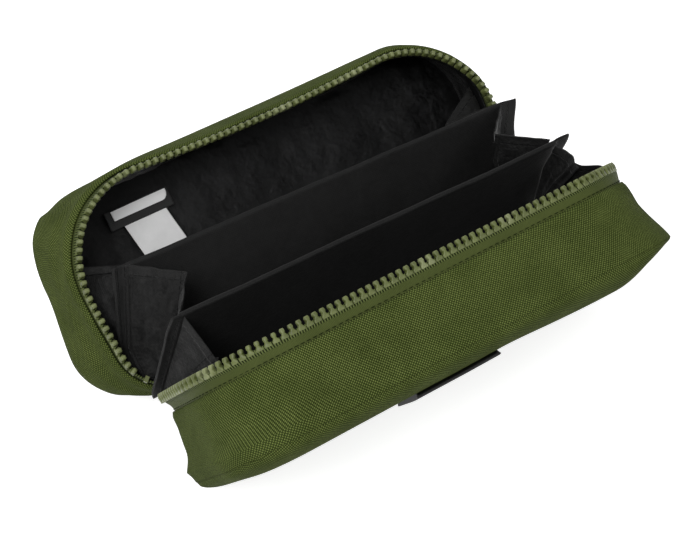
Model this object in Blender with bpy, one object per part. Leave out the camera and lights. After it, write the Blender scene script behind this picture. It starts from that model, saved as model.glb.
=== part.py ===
"""A soft zipped pencil case that opens like a clam, with an accordion of two dividers and pleated end gussets.

Both halves are the same tray of padded cloth. They share one long base, which folds along its middle line.
The case stands open on the two lower long edges of its main panels. Metres, +Z up, X along the case.
A point of a half is given as x, d and w: d is the depth out from the zip's plane, and w the height above the fold.
"""

import math

import bmesh
import bpy
from mathutils import Matrix, Vector

MM = 0.001

# Each half: its outline at the zip, its outline at the main panel, and its depth
RIM_WIDTH = 212.0 * MM
RIM_HEIGHT = 93.0 * MM
RIM_TOP_RADIUS = 46.0 * MM
RIM_BASE_RADIUS = 21.0 * MM
PANEL_WIDTH = 223.0 * MM
PANEL_HEIGHT = 99.0 * MM
PANEL_RADIUS = 31.0 * MM
DEPTH = 37.0 * MM
CROWN = 5.6 * MM
CROWN_INSET = 26.0 * MM
HALF_LEAN = math.radians(44.5)

# Cloth, padding and the gap between neighbours
GAP = 0.3 * MM
CLOTH = 1.0 * MM
FOAM = 2.0 * MM
LINING = 0.6 * MM
TAPE = 0.6 * MM
BAND_START = 8.0 * MM
TAPE_START = 2.3 * MM
TAPE_END = 14.2 * MM

# Zip teeth and the parts on the zip
TOOTH_PITCH = 3.45 * MM
TOOTH_WIDTH = 1.5 * MM
TOOTH_THICK = 2.6 * MM
TOOTH_TIP = 0.95 * MM
BEAD_FRONT = 1.2 * MM
STOP_LENGTH = 1.6 * MM
STOP_DEPTH = 1.8 * MM
ZIP_END_ANGLE = math.radians(48.0)
SLIDER_ANGLE = math.radians(29.0)
SLIDER_LENGTH = 10.0 * MM
SLIDER_WIDTH = 9.0 * MM
SLIDER_NOSE = 5.2 * MM
SLIDER_PLATE = 1.0 * MM
SLIDER_CHANNEL = 3.6 * MM
SLIDER_SLOT = 2.4 * MM
SLIDER_RAIL = 0.9 * MM
BAIL_WIRE = 1.1 * MM
BAIL_REACH = 3.2 * MM
BAIL_HEIGHT = 2.9 * MM
PULL_LENGTH = 18.0 * MM
PULL_WIDTH = 4.4 * MM
PULL_THICK = 1.4 * MM
PULL_BAR = 1.2 * MM
PULL_EYE_WIDTH = 2.0 * MM
PULL_EYE_LENGTH = 4.4 * MM
PULL_SWING = math.radians(28.0)

# Dividers and gussets
DIVIDER_SEAM = 87.0 * MM
DIVIDER_HEIGHT = 49.0 * MM
DIVIDER_PIVOT_HEIGHT = 5.0 * MM
DIVIDER_PIVOT_DEPTH = 3.0 * MM
DIVIDER_THICK = 2.4 * MM
DIVIDER_COVER = 0.4 * MM
FIN_LENGTH = 7.0 * MM
FIN_THICK = 1.0 * MM
FIN_RISE = 14.0 * MM
SEAM_STEP = 1.5 * MM
REAR_DIVIDER_LEAN = math.radians(19.0)
FRONT_DIVIDER_LEAN = math.radians(-12.0)
GUSSET_CLOTH = 0.5 * MM
GUSSET_TOP = 46.0 * MM
GUSSET_BOTTOM = 9.0 * MM
PLEAT_DEPTH_TOP = 15.0 * MM
PLEAT_DEPTH_BOTTOM = 6.0 * MM
SIDE_PLEAT_TOP = 11.0 * MM
SIDE_PLEAT_BOTTOM = 2.5 * MM
VALLEY_TRIM = 0.6 * MM
WALL_SEAM_BOTTOM_HEIGHT = 15.0 * MM
WALL_SEAM_BOTTOM_DEPTH = 11.0 * MM
WALL_SEAM_TOP_HEIGHT = 46.0 * MM
WALL_SEAM_TOP_DEPTH = 20.0 * MM

# Labels on the rear lining and the plain patch on the front panel
LABEL_INSET = 36.0 * MM
LABEL_DROP = 17.5 * MM
LABEL_WIDTH = 33.0 * MM
LABEL_HEIGHT = 9.0 * MM
LABEL_THICK = 0.8 * MM
INSERT_WIDTH = 26.0 * MM
INSERT_HEIGHT = 4.6 * MM
INSERT_THICK = 0.3 * MM
CARE_WIDTH = 20.5 * MM
CARE_HEIGHT = 17.5 * MM
CARE_THICK = 0.3 * MM
CARE_SHIFT = 6.5 * MM
PATCH_INSET = 73.5 * MM
PATCH_DROP = 15.0 * MM
PATCH_WIDTH = 45.0 * MM
PATCH_HEIGHT = 22.0 * MM
PATCH_THICK = 1.4 * MM
PATCH_CORNER = 1.5 * MM

# Steps of the round stretches
CORNER_STEPS = 7
TOP_STEPS = 4

# The crown's rings, as shares of its inset and of its height
CROWN_RING_SHARES = ((0.0, 0.0), (0.08, 0.4), (0.23, 0.71), (0.54, 0.93), (1.0, 1.0))
# Half-widths of a tooth's neck and tip, as shares of its width, and its head's place, as a share of its tip
TOOTH_NECK_SHARE = 0.33
TOOTH_TIP_SHARE = 0.34
TOOTH_HEAD_PLACE_SHARE = 0.37

GREEN = (0.055, 0.075, 0.02, 1.0)
GREEN_PLASTIC = (0.1, 0.13, 0.05, 1.0)
BLACK = (0.008, 0.008, 0.009, 1.0)
BLACK_LINING = (0.006, 0.006, 0.007, 1.0)
FOAM_GREY = (0.12, 0.12, 0.12, 1.0)
CARD_GREY = (0.2, 0.19, 0.17, 1.0)
WHITE = (0.75, 0.75, 0.75, 1.0)
SATIN = (0.42, 0.42, 0.43, 1.0)
GUNMETAL = (0.09, 0.1, 0.07, 1.0)

REAR = 1
FRONT = -1


def clear_scene():
    for obj in list(bpy.data.objects):
        bpy.data.objects.remove(obj)


def lowest_drop():
    """How far the lower edge of a leaning half's crowned panel reaches below the fold."""
    drops = []
    for inset_share, height_share in CROWN_RING_SHARES:
        depth = DEPTH + CROWN * height_share
        drops.append(depth * math.sin(HALF_LEAN) - CROWN_INSET * inset_share * math.cos(HALF_LEAN))
    return max(drops)


def make_material(name, colour, roughness, metallic=0.0):
    material = bpy.data.materials.new(name)
    material.use_nodes = True
    shader = material.node_tree.nodes["Principled BSDF"]
    shader.inputs["Base Color"].default_value = colour
    shader.inputs["Roughness"].default_value = roughness
    shader.inputs["Metallic"].default_value = metallic
    material.diffuse_color = colour
    return material


def add_object(name, mesh, colour, roughness, parent=None, metallic=0.0, helper=False):
    mesh.materials.append(make_material(name, colour, roughness, metallic))
    obj = bpy.data.objects.new(name, mesh)
    (CUTTERS if helper else PIECES).objects.link(obj)
    obj.parent = parent
    if helper:
        obj.hide_render = True
        obj.display_type = "WIRE"
    return obj


def mesh_of(name, bm):
    bmesh.ops.recalc_face_normals(bm, faces=bm.faces)
    mesh = bpy.data.meshes.new(name)
    bm.to_mesh(mesh)
    bm.free()
    return mesh


def cut(obj, cutter):
    boolean = obj.modifiers.new("cut", "BOOLEAN")
    boolean.operation = "DIFFERENCE"
    boolean.solver = "EXACT"
    boolean.object = cutter


def outline_sizes(depth):
    """Width, height, top radius and base radius of a half's outline at this depth."""
    share = depth / DEPTH
    width = RIM_WIDTH + (PANEL_WIDTH - RIM_WIDTH) * share
    height = RIM_HEIGHT + (PANEL_HEIGHT - RIM_HEIGHT) * share
    top = RIM_TOP_RADIUS + (PANEL_RADIUS - RIM_TOP_RADIUS) * share
    base = RIM_BASE_RADIUS + (PANEL_RADIUS - RIM_BASE_RADIUS) * share
    return width, height, top, base


def arc(centre_x, centre_w, radius, start, end, steps):
    points = []
    for step in range(steps + 1):
        angle = start + (end - start) * step / steps
        points.append((centre_x + radius * math.cos(angle), centre_w + radius * math.sin(angle)))
    return points


def wall_path(depth, inset, start=0.0):
    """x and w of the three zipped sides, from the left end of the base round to its right end.

    Start is the angle of the base corners that is left out at both ends."""
    width, height, top, base = outline_sizes(depth)
    half = width / 2
    quarter = math.pi / 2
    corner = arc(-half + base, base, base - inset, -quarter - start, -2 * quarter, CORNER_STEPS)
    upper = arc(-half + top, height - top, top - inset, 2 * quarter, quarter, CORNER_STEPS)
    left = corner + upper
    middle = []
    for step in range(1, TOP_STEPS // 2):
        share = 2 * step / TOP_STEPS
        middle.append((left[-1][0] * (1 - share), height - inset))
    left += middle
    right = [(-x, w) for x, w in reversed(left)]
    return left + [(0.0, height - inset)] + right


def base_reach(depth):
    """Half the length of the base's straight stretch at this depth."""
    width, _, _, base = outline_sizes(depth)
    return width / 2 - base


def loft(rings):
    """A closed solid through rings of as many points each, with both ends capped."""
    bm = bmesh.new()
    loops = [[bm.verts.new(point) for point in ring] for ring in rings]
    count = len(loops[0])
    for lower, upper in zip(loops, loops[1:]):
        for i in range(count):
            j = (i + 1) % count
            bm.faces.new((lower[i], lower[j], upper[j], upper[i]))
    bm.faces.new(loops[0])
    bm.faces.new(loops[-1])
    return bm


def wall(name, side, inset, thickness, depths, colour, roughness, parent, start=0.0, inset_at=None):
    """A layer of cloth or foam along the three zipped sides, from the first depth to the last."""
    inset_at = inset_at or (lambda depth: inset)
    outer = [wall_path(depth, inset_at(depth), start) for depth in depths]
    inner = [wall_path(depth, inset_at(depth) + thickness, start) for depth in depths]
    rings = []
    for column in range(len(outer[0])):
        ring = []
        for path, depth in list(zip(outer, depths)) + list(zip(inner, depths))[::-1]:
            x, w = path[column]
            ring.append(Vector((x, side * depth, w)))
        rings.append(ring)
    return add_object(name, mesh_of(name, loft(rings)), colour, roughness, parent)


def base_leaf(name, side, height, thickness, end, colour, roughness, parent):
    """The flat part of the base between the corners, from the fold to the main panel."""
    depths = (GAP / 2, end)
    rings = []
    for level in (height, height + thickness):
        ring = []
        for depth, sign in ((depths[0], -1), (depths[0], 1), (depths[1], 1), (depths[1], -1)):
            ring.append(Vector((sign * (base_reach(depth) - GAP), side * depth, level)))
        rings.append(ring)
    return add_object(name, mesh_of(name, loft(rings)), colour, roughness, parent)


def crowned_panel(name, side, start_inset, floor, under, colour, roughness, parent, hollow):
    """A padded panel that swells out from its seam.

    Under is how far its outer face lies below the case's own, and hollow the cloth's thickness, or zero
    for a panel that is solid down to its floor."""
    rings = []

    def ring(inset, depth):
        return [Vector((x, side * depth, w)) for x, w in wall_path(DEPTH, inset)]

    reach = CROWN_INSET
    outer = []
    for inset_share, height_share in CROWN_RING_SHARES:
        inset = start_inset + (reach - start_inset) * inset_share
        outer.append(ring(inset, DEPTH + CROWN * height_share - under))
    outer.insert(0, ring(start_inset, floor))
    if hollow:
        for inset_share, height_share in CROWN_RING_SHARES:
            inset = start_inset + hollow + (reach - start_inset - hollow) * inset_share
            rings.append(ring(inset, DEPTH + CROWN * height_share - under - hollow))
        rings.reverse()
        rings.append(ring(start_inset + hollow, floor))
    return add_object(name, mesh_of(name, loft(rings + outer)), colour, roughness, parent)


def flat_panel(name, side, inset, depth, thickness, colour, roughness, parent):
    rings = []
    for level in (depth, depth + thickness):
        rings.append([Vector((x, side * level, w)) for x, w in wall_path(depth, inset)])
    return add_object(name, mesh_of(name, loft(rings)), colour, roughness, parent)


def chain_path():
    """The line that the teeth follow, as x and w, between the ends of the zip."""
    inset = CLOTH + GAP + TAPE / 2
    width, height, top, base = outline_sizes(0.0)
    half = width / 2
    quarter = math.pi / 2
    fine = CORNER_STEPS * 6
    points = arc(-half + base, base, base - inset, -quarter - ZIP_END_ANGLE, -2 * quarter, fine)
    points += arc(-half + top, height - top, top - inset, 2 * quarter, quarter, fine)
    points += arc(half - top, height - top, top - inset, quarter, 0.0, fine)
    points += arc(half - base, base, base - inset, 0.0, -quarter + ZIP_END_ANGLE, fine)
    return [Vector((x, 0.0, w)) for x, w in points]


def along(points, distance):
    """The point at this distance along a line, and the line's direction there."""
    for first, second in zip(points, points[1:]):
        step = (second - first).length
        if step == 0.0:
            continue
        if distance <= step:
            direction = (second - first) / step
            return first + direction * distance, direction
        distance -= step
    direction = (points[-1] - points[-2]).normalized()
    return points[-1].copy(), direction


def path_length(points):
    return sum((second - first).length for first, second in zip(points, points[1:]))


def tooth_outline():
    """Places along the chain and in depth of a tooth's edge, from one side of its neck to the other."""
    head = TOOTH_WIDTH / 2
    left = [
        (-TOOTH_WIDTH * TOOTH_NECK_SHARE, BEAD_FRONT),
        (-head, -TOOTH_TIP * TOOTH_HEAD_PLACE_SHARE),
        (-TOOTH_WIDTH * TOOTH_TIP_SHARE, -TOOTH_TIP),
    ]
    return left + [(-across, depth) for across, depth in reversed(left)]


def teeth(name, side, parent):
    """The chain of one half: a bead on the tape's edge, and waisted teeth moulded on it.

    A tooth's head locks between two of the other half's, so the two chains are half a pitch apart."""
    path = chain_path()
    length = path_length(path)
    room = length - 2 * (STOP_LENGTH + GAP) - TOOTH_PITCH / 2
    count = int(room / TOOTH_PITCH)
    first = (length - count * TOOTH_PITCH) / 2 + TOOTH_PITCH / 4 * side
    outline = tooth_outline()
    back = TAPE_START - GAP
    bm = bmesh.new()

    def pair(distance, depth):
        """The chain's two faces at a place: the vertex on the inner face, and the one on the outer."""
        centre, direction = along(path, distance)
        out = Vector((direction.z, 0.0, -direction.x)) * TOOTH_THICK / 2
        centre = centre + Vector((0.0, side * depth, 0.0))
        return bm.verts.new(centre - out), bm.verts.new(centre + out)

    backs = [pair(first + index * TOOTH_PITCH, back) for index in range(count + 1)]
    edge = [pair(first, BEAD_FRONT)]
    for index in range(count):
        middle = first + (index + 0.5) * TOOTH_PITCH
        tooth = [pair(middle + across, depth) for across, depth in outline]
        join = pair(first + (index + 1) * TOOTH_PITCH, BEAD_FRONT)
        cell = [backs[index], edge[-1]] + tooth + [join, backs[index + 1]]
        for face in (0, 1):
            bm.faces.new([both[face] for both in cell])
        edge += tooth + [join]
    rim = backs[::-1] + edge
    for one, two in zip(rim, rim[1:] + rim[:1]):
        bm.faces.new((one[0], two[0], two[1], one[1]))
    return add_object(name, mesh_of(name, bm), GREEN_PLASTIC, 0.45, parent)


def zip_stops(word, side, parent):
    """The block at each end of a chain, on the tape's edge."""
    path = chain_path()
    length = path_length(path)
    for end_word, distance in (("left", STOP_LENGTH / 2), ("right", length - STOP_LENGTH / 2)):
        centre, direction = along(path, distance)
        out = Vector((direction.z, 0.0, -direction.x))
        centre = centre + Vector((0.0, side * (TAPE_START - GAP - STOP_DEPTH / 2), 0.0))
        bm = bmesh.new()
        made = bmesh.ops.create_cube(bm, size=1.0)["verts"]
        frame = Matrix((direction, Vector((0.0, -1.0, 0.0)), out)).transposed().to_4x4()
        size = Matrix.Diagonal((STOP_LENGTH, STOP_DEPTH, TOOTH_THICK, 1.0))
        bmesh.ops.transform(bm, matrix=Matrix.Translation(centre) @ frame @ size, verts=made)
        name = f"{word}_zip_stop_{end_word}"
        add_object(name, mesh_of(name, bm), GREEN_PLASTIC, 0.45, parent)


def box(bm, low, high):
    """A box between two corners, in a bmesh."""
    made = bmesh.ops.create_cube(bm, size=1.0)["verts"]
    size = [b - a for a, b in zip(low, high)]
    middle = [(a + b) / 2 for a, b in zip(low, high)]
    bmesh.ops.transform(bm, matrix=Matrix.Translation(middle) @ Matrix.Diagonal((*size, 1.0)), verts=made)


def slider_frame():
    """Where the slider sits: on the rear chain's free end, at the right base corner."""
    inset = CLOTH + GAP + TAPE / 2
    width, _, _, base = outline_sizes(0.0)
    angle = -math.pi / 2 + SLIDER_ANGLE
    radius = base - inset
    place = Vector((width / 2 - base + radius * math.cos(angle), 0.0, base + radius * math.sin(angle)))
    direction = Vector((-math.sin(angle), 0.0, math.cos(angle)))
    out = Vector((math.cos(angle), 0.0, math.sin(angle)))
    frame = Matrix((direction, Vector((0.0, -1.0, 0.0)), out)).transposed().to_4x4()
    return Matrix.Translation(place) @ frame


def slider_plate(bm, low, high):
    """A plate that narrows from the slider's shoulders to its tail."""
    points = []
    half = SLIDER_LENGTH / 2
    for along_share, width in ((-1.0, SLIDER_NOSE), (0.2, SLIDER_WIDTH), (1.0, SLIDER_WIDTH)):
        points.append((half * along_share, width / 2))
    points += [(x, -y) for x, y in reversed(points)]
    rings = [[bm.verts.new((x, y, level)) for x, y in points] for level in (low, high)]
    bm.faces.new(rings[0])
    bm.faces.new(rings[1])
    for i in range(len(points)):
        j = (i + 1) % len(points)
        bm.faces.new((rings[0][i], rings[0][j], rings[1][j], rings[1][i]))


def slider(parent):
    """Two plates held apart by the post in the mouth, rails that guide the tapes, and the bail."""
    half_channel = SLIDER_CHANNEL / 2
    overlap = SLIDER_PLATE / 4
    bodies = []
    for sign in (-1, 1):
        bm = bmesh.new()
        slider_plate(bm, *sorted((sign * half_channel, sign * (half_channel + SLIDER_PLATE))))
        bodies.append(bm)
        for edge in (-1, 1):
            bm = bmesh.new()
            inner = edge * (SLIDER_WIDTH / 2 - SLIDER_RAIL)
            outer = edge * (SLIDER_WIDTH / 2 - SLIDER_RAIL / 8)
            lift = sorted((sign * SLIDER_SLOT / 2, sign * (half_channel + overlap)))
            across = sorted((inner, outer))
            box(bm, (SLIDER_LENGTH / 10, across[0], lift[0]), (SLIDER_LENGTH / 2 - overlap, across[1], lift[1]))
            bodies.append(bm)
    bm = bmesh.new()
    post = SLIDER_NOSE / 4
    reach = half_channel + overlap
    box(bm, (SLIDER_LENGTH / 4, -post, -reach), (SLIDER_LENGTH / 2 - overlap, post, reach))
    bodies.append(bm)
    bodies.append(bail_mesh(half_channel + SLIDER_PLATE))
    main = None
    for index, bm in enumerate(bodies):
        name = "zip_slider" if index == 0 else f"slider_piece_{index}"
        obj = add_object(name, mesh_of(name, bm), GUNMETAL, 0.35, parent, 0.8, helper=index > 0)
        obj.matrix_local = slider_frame()
        if index == 0:
            main = obj
            continue
        union = main.modifiers.new("join", "BOOLEAN")
        union.operation = "UNION"
        union.solver = "EXACT"
        union.object = obj
    return main


def bail_mesh(face):
    """The wire loop over the outer plate that carries the pull."""
    curve = bpy.data.curves.new("bail", "CURVE")
    curve.dimensions = "3D"
    curve.bevel_depth = BAIL_WIRE / 2
    curve.bevel_resolution = 1
    curve.use_fill_caps = True
    spline = curve.splines.new("POLY")
    points = [(-BAIL_REACH, face - BAIL_WIRE / 2)]
    for step in range(7):
        angle = math.pi - math.pi * step / 6
        points.append((BAIL_REACH * math.cos(angle), face + BAIL_HEIGHT * math.sin(angle)))
    points.append((BAIL_REACH, face - BAIL_WIRE / 2))
    spline.points.add(len(points) - 1)
    for point, (x, z) in zip(spline.points, points):
        point.co = (x, 0.0, z, 1.0)
    guide = bpy.data.objects.new("bail_guide", curve)
    CUTTERS.objects.link(guide)
    bpy.context.view_layer.update()
    made = bpy.data.meshes.new_from_object(guide.evaluated_get(bpy.context.evaluated_depsgraph_get()))
    bpy.data.objects.remove(guide)
    bm = bmesh.new()
    bm.from_mesh(made)
    bmesh.ops.remove_doubles(bm, verts=bm.verts, dist=GAP / 100)
    return bm


def pull_tab(parent):
    """The flat pull, hung by its bar under the bail. Its origin is on the bar's line."""
    bar = PULL_BAR / 2
    bm = bmesh.new()
    end = PULL_LENGTH - bar
    half = PULL_WIDTH / 2
    outline = [(-half, -bar), (half, -bar)]
    outline += [(x, z) for x, z in arc(0.0, end - half, half, 0.0, math.pi, CORNER_STEPS)]
    low = [bm.verts.new((-PULL_THICK / 2, x, z)) for x, z in outline]
    high = [bm.verts.new((PULL_THICK / 2, x, z)) for x, z in outline]
    bm.faces.new(low)
    bm.faces.new(high)
    for i in range(len(outline)):
        j = (i + 1) % len(outline)
        bm.faces.new((low[i], low[j], high[j], high[i]))
    tab = add_object("zip_pull_tab", mesh_of("zip_pull_tab", bm), GUNMETAL, 0.35, parent, 0.8)
    bm = bmesh.new()
    box(bm, (-PULL_THICK, -PULL_EYE_WIDTH / 2, bar), (PULL_THICK, PULL_EYE_WIDTH / 2, bar + PULL_EYE_LENGTH))
    eye = add_object("pull_eye", mesh_of("pull_eye", bm), GUNMETAL, 0.35, parent, helper=True)
    # The bar turns clear of the slider's plate, and the tab lies over towards the side wall
    height = SLIDER_CHANNEL / 2 + SLIDER_PLATE + GAP + math.hypot(bar, PULL_THICK / 2)
    hung = slider_frame() @ Matrix.Translation((0.0, 0.0, height)) @ Matrix.Rotation(PULL_SWING, 4, "Y")
    for obj in (tab, eye):
        obj.matrix_local = hung
    cut(tab, eye)
    return tab


def divider_outline():
    """Plan of a divider's cover: full between the end seams, thin in the fins beyond them."""
    full = DIVIDER_THICK / 2
    thin = FIN_THICK / 2
    seam = DIVIDER_SEAM + SEAM_STEP
    right = [(seam, full), (seam + SEAM_STEP, thin), (DIVIDER_SEAM + FIN_LENGTH, thin)]
    upper = [(-x, y) for x, y in reversed(right)] + right
    return upper + [(x, -y) for x, y in reversed(upper)]


def divider(word, parent):
    """A stiff card in a cloth cover that is folded over its top and open below."""
    bm = bmesh.new()
    points = divider_outline()
    rings = [[bm.verts.new((x, y, level)) for x, y in points] for level in (0.0, DIVIDER_HEIGHT)]
    bm.faces.new(rings[0])
    bm.faces.new(rings[1])
    for i in range(len(points)):
        j = (i + 1) % len(points)
        bm.faces.new((rings[0][i], rings[0][j], rings[1][j], rings[1][i]))
    name = f"{word}_divider_cover"
    cover = add_object(name, mesh_of(name, bm), BLACK, 0.75, parent)
    # The sleeve's room for the card
    room = DIVIDER_THICK / 2 - DIVIDER_COVER
    card = room - GAP
    top = DIVIDER_HEIGHT - DIVIDER_COVER
    bm = bmesh.new()
    box(bm, (-DIVIDER_SEAM, -room, -DIVIDER_COVER), (DIVIDER_SEAM, room, top))
    slot = add_object(f"{word}_divider_room", mesh_of("room", bm), BLACK, 0.75, parent, helper=True)
    cut(cover, slot)
    # The fins stop short of the base
    for sign in (-1, 1):
        bm = bmesh.new()
        near = sign * (DIVIDER_SEAM + SEAM_STEP)
        far = sign * (DIVIDER_SEAM + 2 * FIN_LENGTH)
        across = sorted((near, far))
        box(bm, (across[0], -DIVIDER_THICK, -DIVIDER_COVER), (across[1], DIVIDER_THICK, FIN_RISE))
        notch = add_object(f"{word}_fin_notch_{sign}", mesh_of("notch", bm), BLACK, 0.75, parent, helper=True)
        cut(cover, notch)
    bm = bmesh.new()
    box(bm, (-DIVIDER_SEAM + GAP, -card, 0.0), (DIVIDER_SEAM - GAP, card, top - GAP))
    name = f"{word}_divider_card"
    add_object(name, mesh_of(name, bm), CARD_GREY, 0.9, parent)


def inner_half_width(depth, height):
    """x of the lining's face on an end wall, at this depth and height."""
    width, _, _, base = outline_sizes(depth)
    radius = base - WALL_THICK
    if height >= base:
        return width / 2 - WALL_THICK
    return width / 2 - base + math.sqrt(radius ** 2 - (base - height) ** 2)


def half_matrix(side):
    lean = Matrix.Rotation(-side * HALF_LEAN, 4, "X")
    return Matrix.Translation((0.0, 0.0, FOLD_HEIGHT)) @ lean


def divider_matrix(side, lean):
    pivot = half_matrix(side) @ Vector((0.0, side * DIVIDER_PIVOT_DEPTH, DIVIDER_PIVOT_HEIGHT))
    return Matrix.Translation(pivot) @ Matrix.Rotation(-lean, 4, "X")


def wall_seam(side, end):
    """The line on an end wall that a gusset is sewn to, bottom and top."""
    away = GAP + GUSSET_CLOTH / 2
    points = []
    for depth, height in (
        (WALL_SEAM_BOTTOM_DEPTH, WALL_SEAM_BOTTOM_HEIGHT),
        (WALL_SEAM_TOP_DEPTH, WALL_SEAM_TOP_HEIGHT),
    ):
        x = end * (inner_half_width(depth, height) - 2 * away)
        points.append(half_matrix(side) @ Vector((x, side * depth, height)))
    return points


def divider_seam(side, lean, face, end):
    """The line on one face of a divider that a gusset is sewn to, bottom and top."""
    offset = face * (DIVIDER_THICK / 2 + GAP + GUSSET_CLOTH / 2)
    place = divider_matrix(side, lean)
    return [place @ Vector((end * DIVIDER_SEAM, offset, height)) for height in (GUSSET_BOTTOM, GUSSET_TOP)]


def gusset_panel(name, seam, valley):
    """One leaf of a pleat, hung on its seam: cloth between the seam's line and the valley's."""
    origin = seam[0]
    corners = [seam[0], seam[1], valley[1], valley[0]]
    normal = ((corners[2] - corners[0]).cross(corners[3] - corners[1])).normalized()
    rings = []
    for sign in (-1, 1):
        rings.append([corner - origin + normal * sign * GUSSET_CLOTH / 2 for corner in corners])
    obj = add_object(name, mesh_of(name, loft(rings)), BLACK, 0.8)
    obj.location = origin
    return obj


def pleat(name, first, second, end, depth_top, depth_bottom):
    """The two leaves of one gusset between two seams. They meet at a valley that folds into the case."""
    valley = []
    for a, b, depth in ((first[0], second[0], depth_bottom), (first[1], second[1], depth_top)):
        middle = (a + b) / 2
        inner = min(abs(a.x), abs(b.x)) - depth
        valley.append(Vector((end * inner, middle.y, middle.z)))
    for word, seam in (("rear", first), ("front", second)):
        edge = []
        for seam_point, valley_point in zip(seam, valley):
            back = (seam_point - valley_point).normalized()
            edge.append(valley_point + back * VALLEY_TRIM)
        gusset_panel(f"{name}_{word}_leaf", seam, edge)


def label_box(name, side, left, width, top, height, face, thickness, colour, roughness, parent):
    """A flat label lying on a face at this depth. Thickness runs into the case."""
    bm = bmesh.new()
    depths = sorted((side * (face - thickness), side * face))
    box(bm, (left, depths[0], top - height), (left + width, depths[1], top))
    return add_object(name, mesh_of(name, bm), colour, roughness, parent)


def patch(parent):
    """The plain black patch on the front panel's swell."""
    bm = bmesh.new()
    low = DEPTH + CROWN + GAP
    left = -PANEL_WIDTH / 2 + PATCH_INSET
    top = PANEL_HEIGHT - PATCH_DROP
    box(bm, (left, -low - PATCH_THICK, top - PATCH_HEIGHT), (left + PATCH_WIDTH, -low, top))
    upright = [edge for edge in bm.edges if abs((edge.verts[0].co - edge.verts[1].co).y) > PATCH_THICK / 2]
    bmesh.ops.bevel(bm, geom=upright, offset=PATCH_CORNER, segments=3, profile=0.5, affect="EDGES")
    return add_object("front_patch", mesh_of("front_patch", bm), BLACK, 0.5, parent)


def case_half(word, side, parent):
    """The padded tray of one half, with its zip tape and teeth."""
    foam_inset = CLOTH + GAP
    lining_inset = foam_inset + FOAM + GAP
    rim_lining_inset = foam_inset + TAPE + GAP
    panel_floor = DEPTH - CLOTH - GAP
    wall_end = panel_floor - GAP

    def lining_at(depth):
        share = min(max((depth - BAND_START) / (TAPE_END - BAND_START), 0.0), 1.0)
        return rim_lining_inset + (lining_inset - rim_lining_inset) * share

    middle = (BAND_START + wall_end) / 2
    wall(f"{word}_side_band", side, 0.0, CLOTH, (BAND_START, middle, wall_end), GREEN, 0.85, parent)
    crowned_panel(f"{word}_main_panel", side, 0.0, panel_floor, 0.0, GREEN, 0.85, parent, CLOTH)
    base_leaf(f"{word}_base_panel", side, 0.0, CLOTH, wall_end, GREEN, 0.85, parent)
    wall(f"{word}_side_foam", side, foam_inset, FOAM, (TAPE_END + GAP, wall_end), FOAM_GREY, 0.95, parent)
    crowned_panel(
        f"{word}_panel_foam", side, foam_inset, panel_floor, foam_inset, FOAM_GREY, 0.95, parent, 0.0
    )
    base_leaf(f"{word}_base_foam", side, foam_inset, FOAM, wall_end, FOAM_GREY, 0.95, parent)
    lining_end = wall_end - LINING - GAP
    depths = (BAND_START, TAPE_END, lining_end)
    wall(f"{word}_side_lining", side, 0.0, LINING, depths, BLACK_LINING, 0.6, parent, inset_at=lining_at)
    flat_panel(
        f"{word}_panel_lining", side, lining_inset, wall_end - LINING, LINING, BLACK_LINING, 0.6, parent
    )
    base_leaf(f"{word}_base_lining", side, lining_inset, LINING, lining_end, BLACK_LINING, 0.6, parent)
    tape_ends = 0.0 if side == REAR else ZIP_END_ANGLE
    wall(
        f"{word}_zip_tape", side, foam_inset, TAPE, (TAPE_START, TAPE_END), GREEN, 0.8, parent, tape_ends
    )
    teeth(f"{word}_zip_teeth", side, parent)
    zip_stops(word, side, parent)


def labels(parent):
    """The blank folded label and care label, sewn to the rear lining."""
    face = DEPTH - CLOTH - 2 * GAP - LINING - GAP
    left = -PANEL_WIDTH / 2 + LABEL_INSET
    top = PANEL_HEIGHT - LABEL_DROP
    care_top = top - LABEL_HEIGHT / 2
    label_box(
        "care_label", REAR, left + CARE_SHIFT, CARE_WIDTH, care_top, CARE_HEIGHT + LABEL_HEIGHT / 2,
        face, CARE_THICK, SATIN, 0.4, parent,
    )
    label_face = face - CARE_THICK - GAP
    label_box(
        "folded_label", REAR, left, LABEL_WIDTH, top, LABEL_HEIGHT,
        label_face, LABEL_THICK, BLACK, 0.7, parent,
    )
    insert_face = label_face - LABEL_THICK - GAP
    label_box(
        "label_insert", REAR, left + (LABEL_WIDTH - INSERT_WIDTH) / 2, INSERT_WIDTH,
        top - GAP, INSERT_HEIGHT, insert_face, INSERT_THICK, WHITE, 0.6, parent,
    )


def axis_empty(name, matrix, parent=None):
    empty = bpy.data.objects.new(name, None)
    PIECES.objects.link(empty)
    empty.empty_display_size = DEPTH
    empty.parent = parent
    empty.matrix_world = matrix
    bpy.context.view_layer.update()
    return empty


clear_scene()
PIECES = bpy.data.collections.new("accordion_pencil_case")
CUTTERS = bpy.data.collections.new("cutters")
bpy.context.scene.collection.children.link(PIECES)
bpy.context.scene.collection.children.link(CUTTERS)
FOLD_HEIGHT = lowest_drop()
WALL_THICK = CLOTH + FOAM + LINING + 2 * GAP

rear_axis = axis_empty("rear_half_axis", half_matrix(REAR))
front_axis = axis_empty("front_half_axis", half_matrix(FRONT))
case_half("rear", REAR, rear_axis)
case_half("front", FRONT, front_axis)
slider(rear_axis)
pull_tab(rear_axis)
labels(rear_axis)
patch(front_axis)

rear_divider_axis = axis_empty("rear_divider_axis", divider_matrix(REAR, REAR_DIVIDER_LEAN))
front_divider_axis = axis_empty("front_divider_axis", divider_matrix(FRONT, FRONT_DIVIDER_LEAN))
divider("rear", rear_divider_axis)
divider("front", front_divider_axis)

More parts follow.
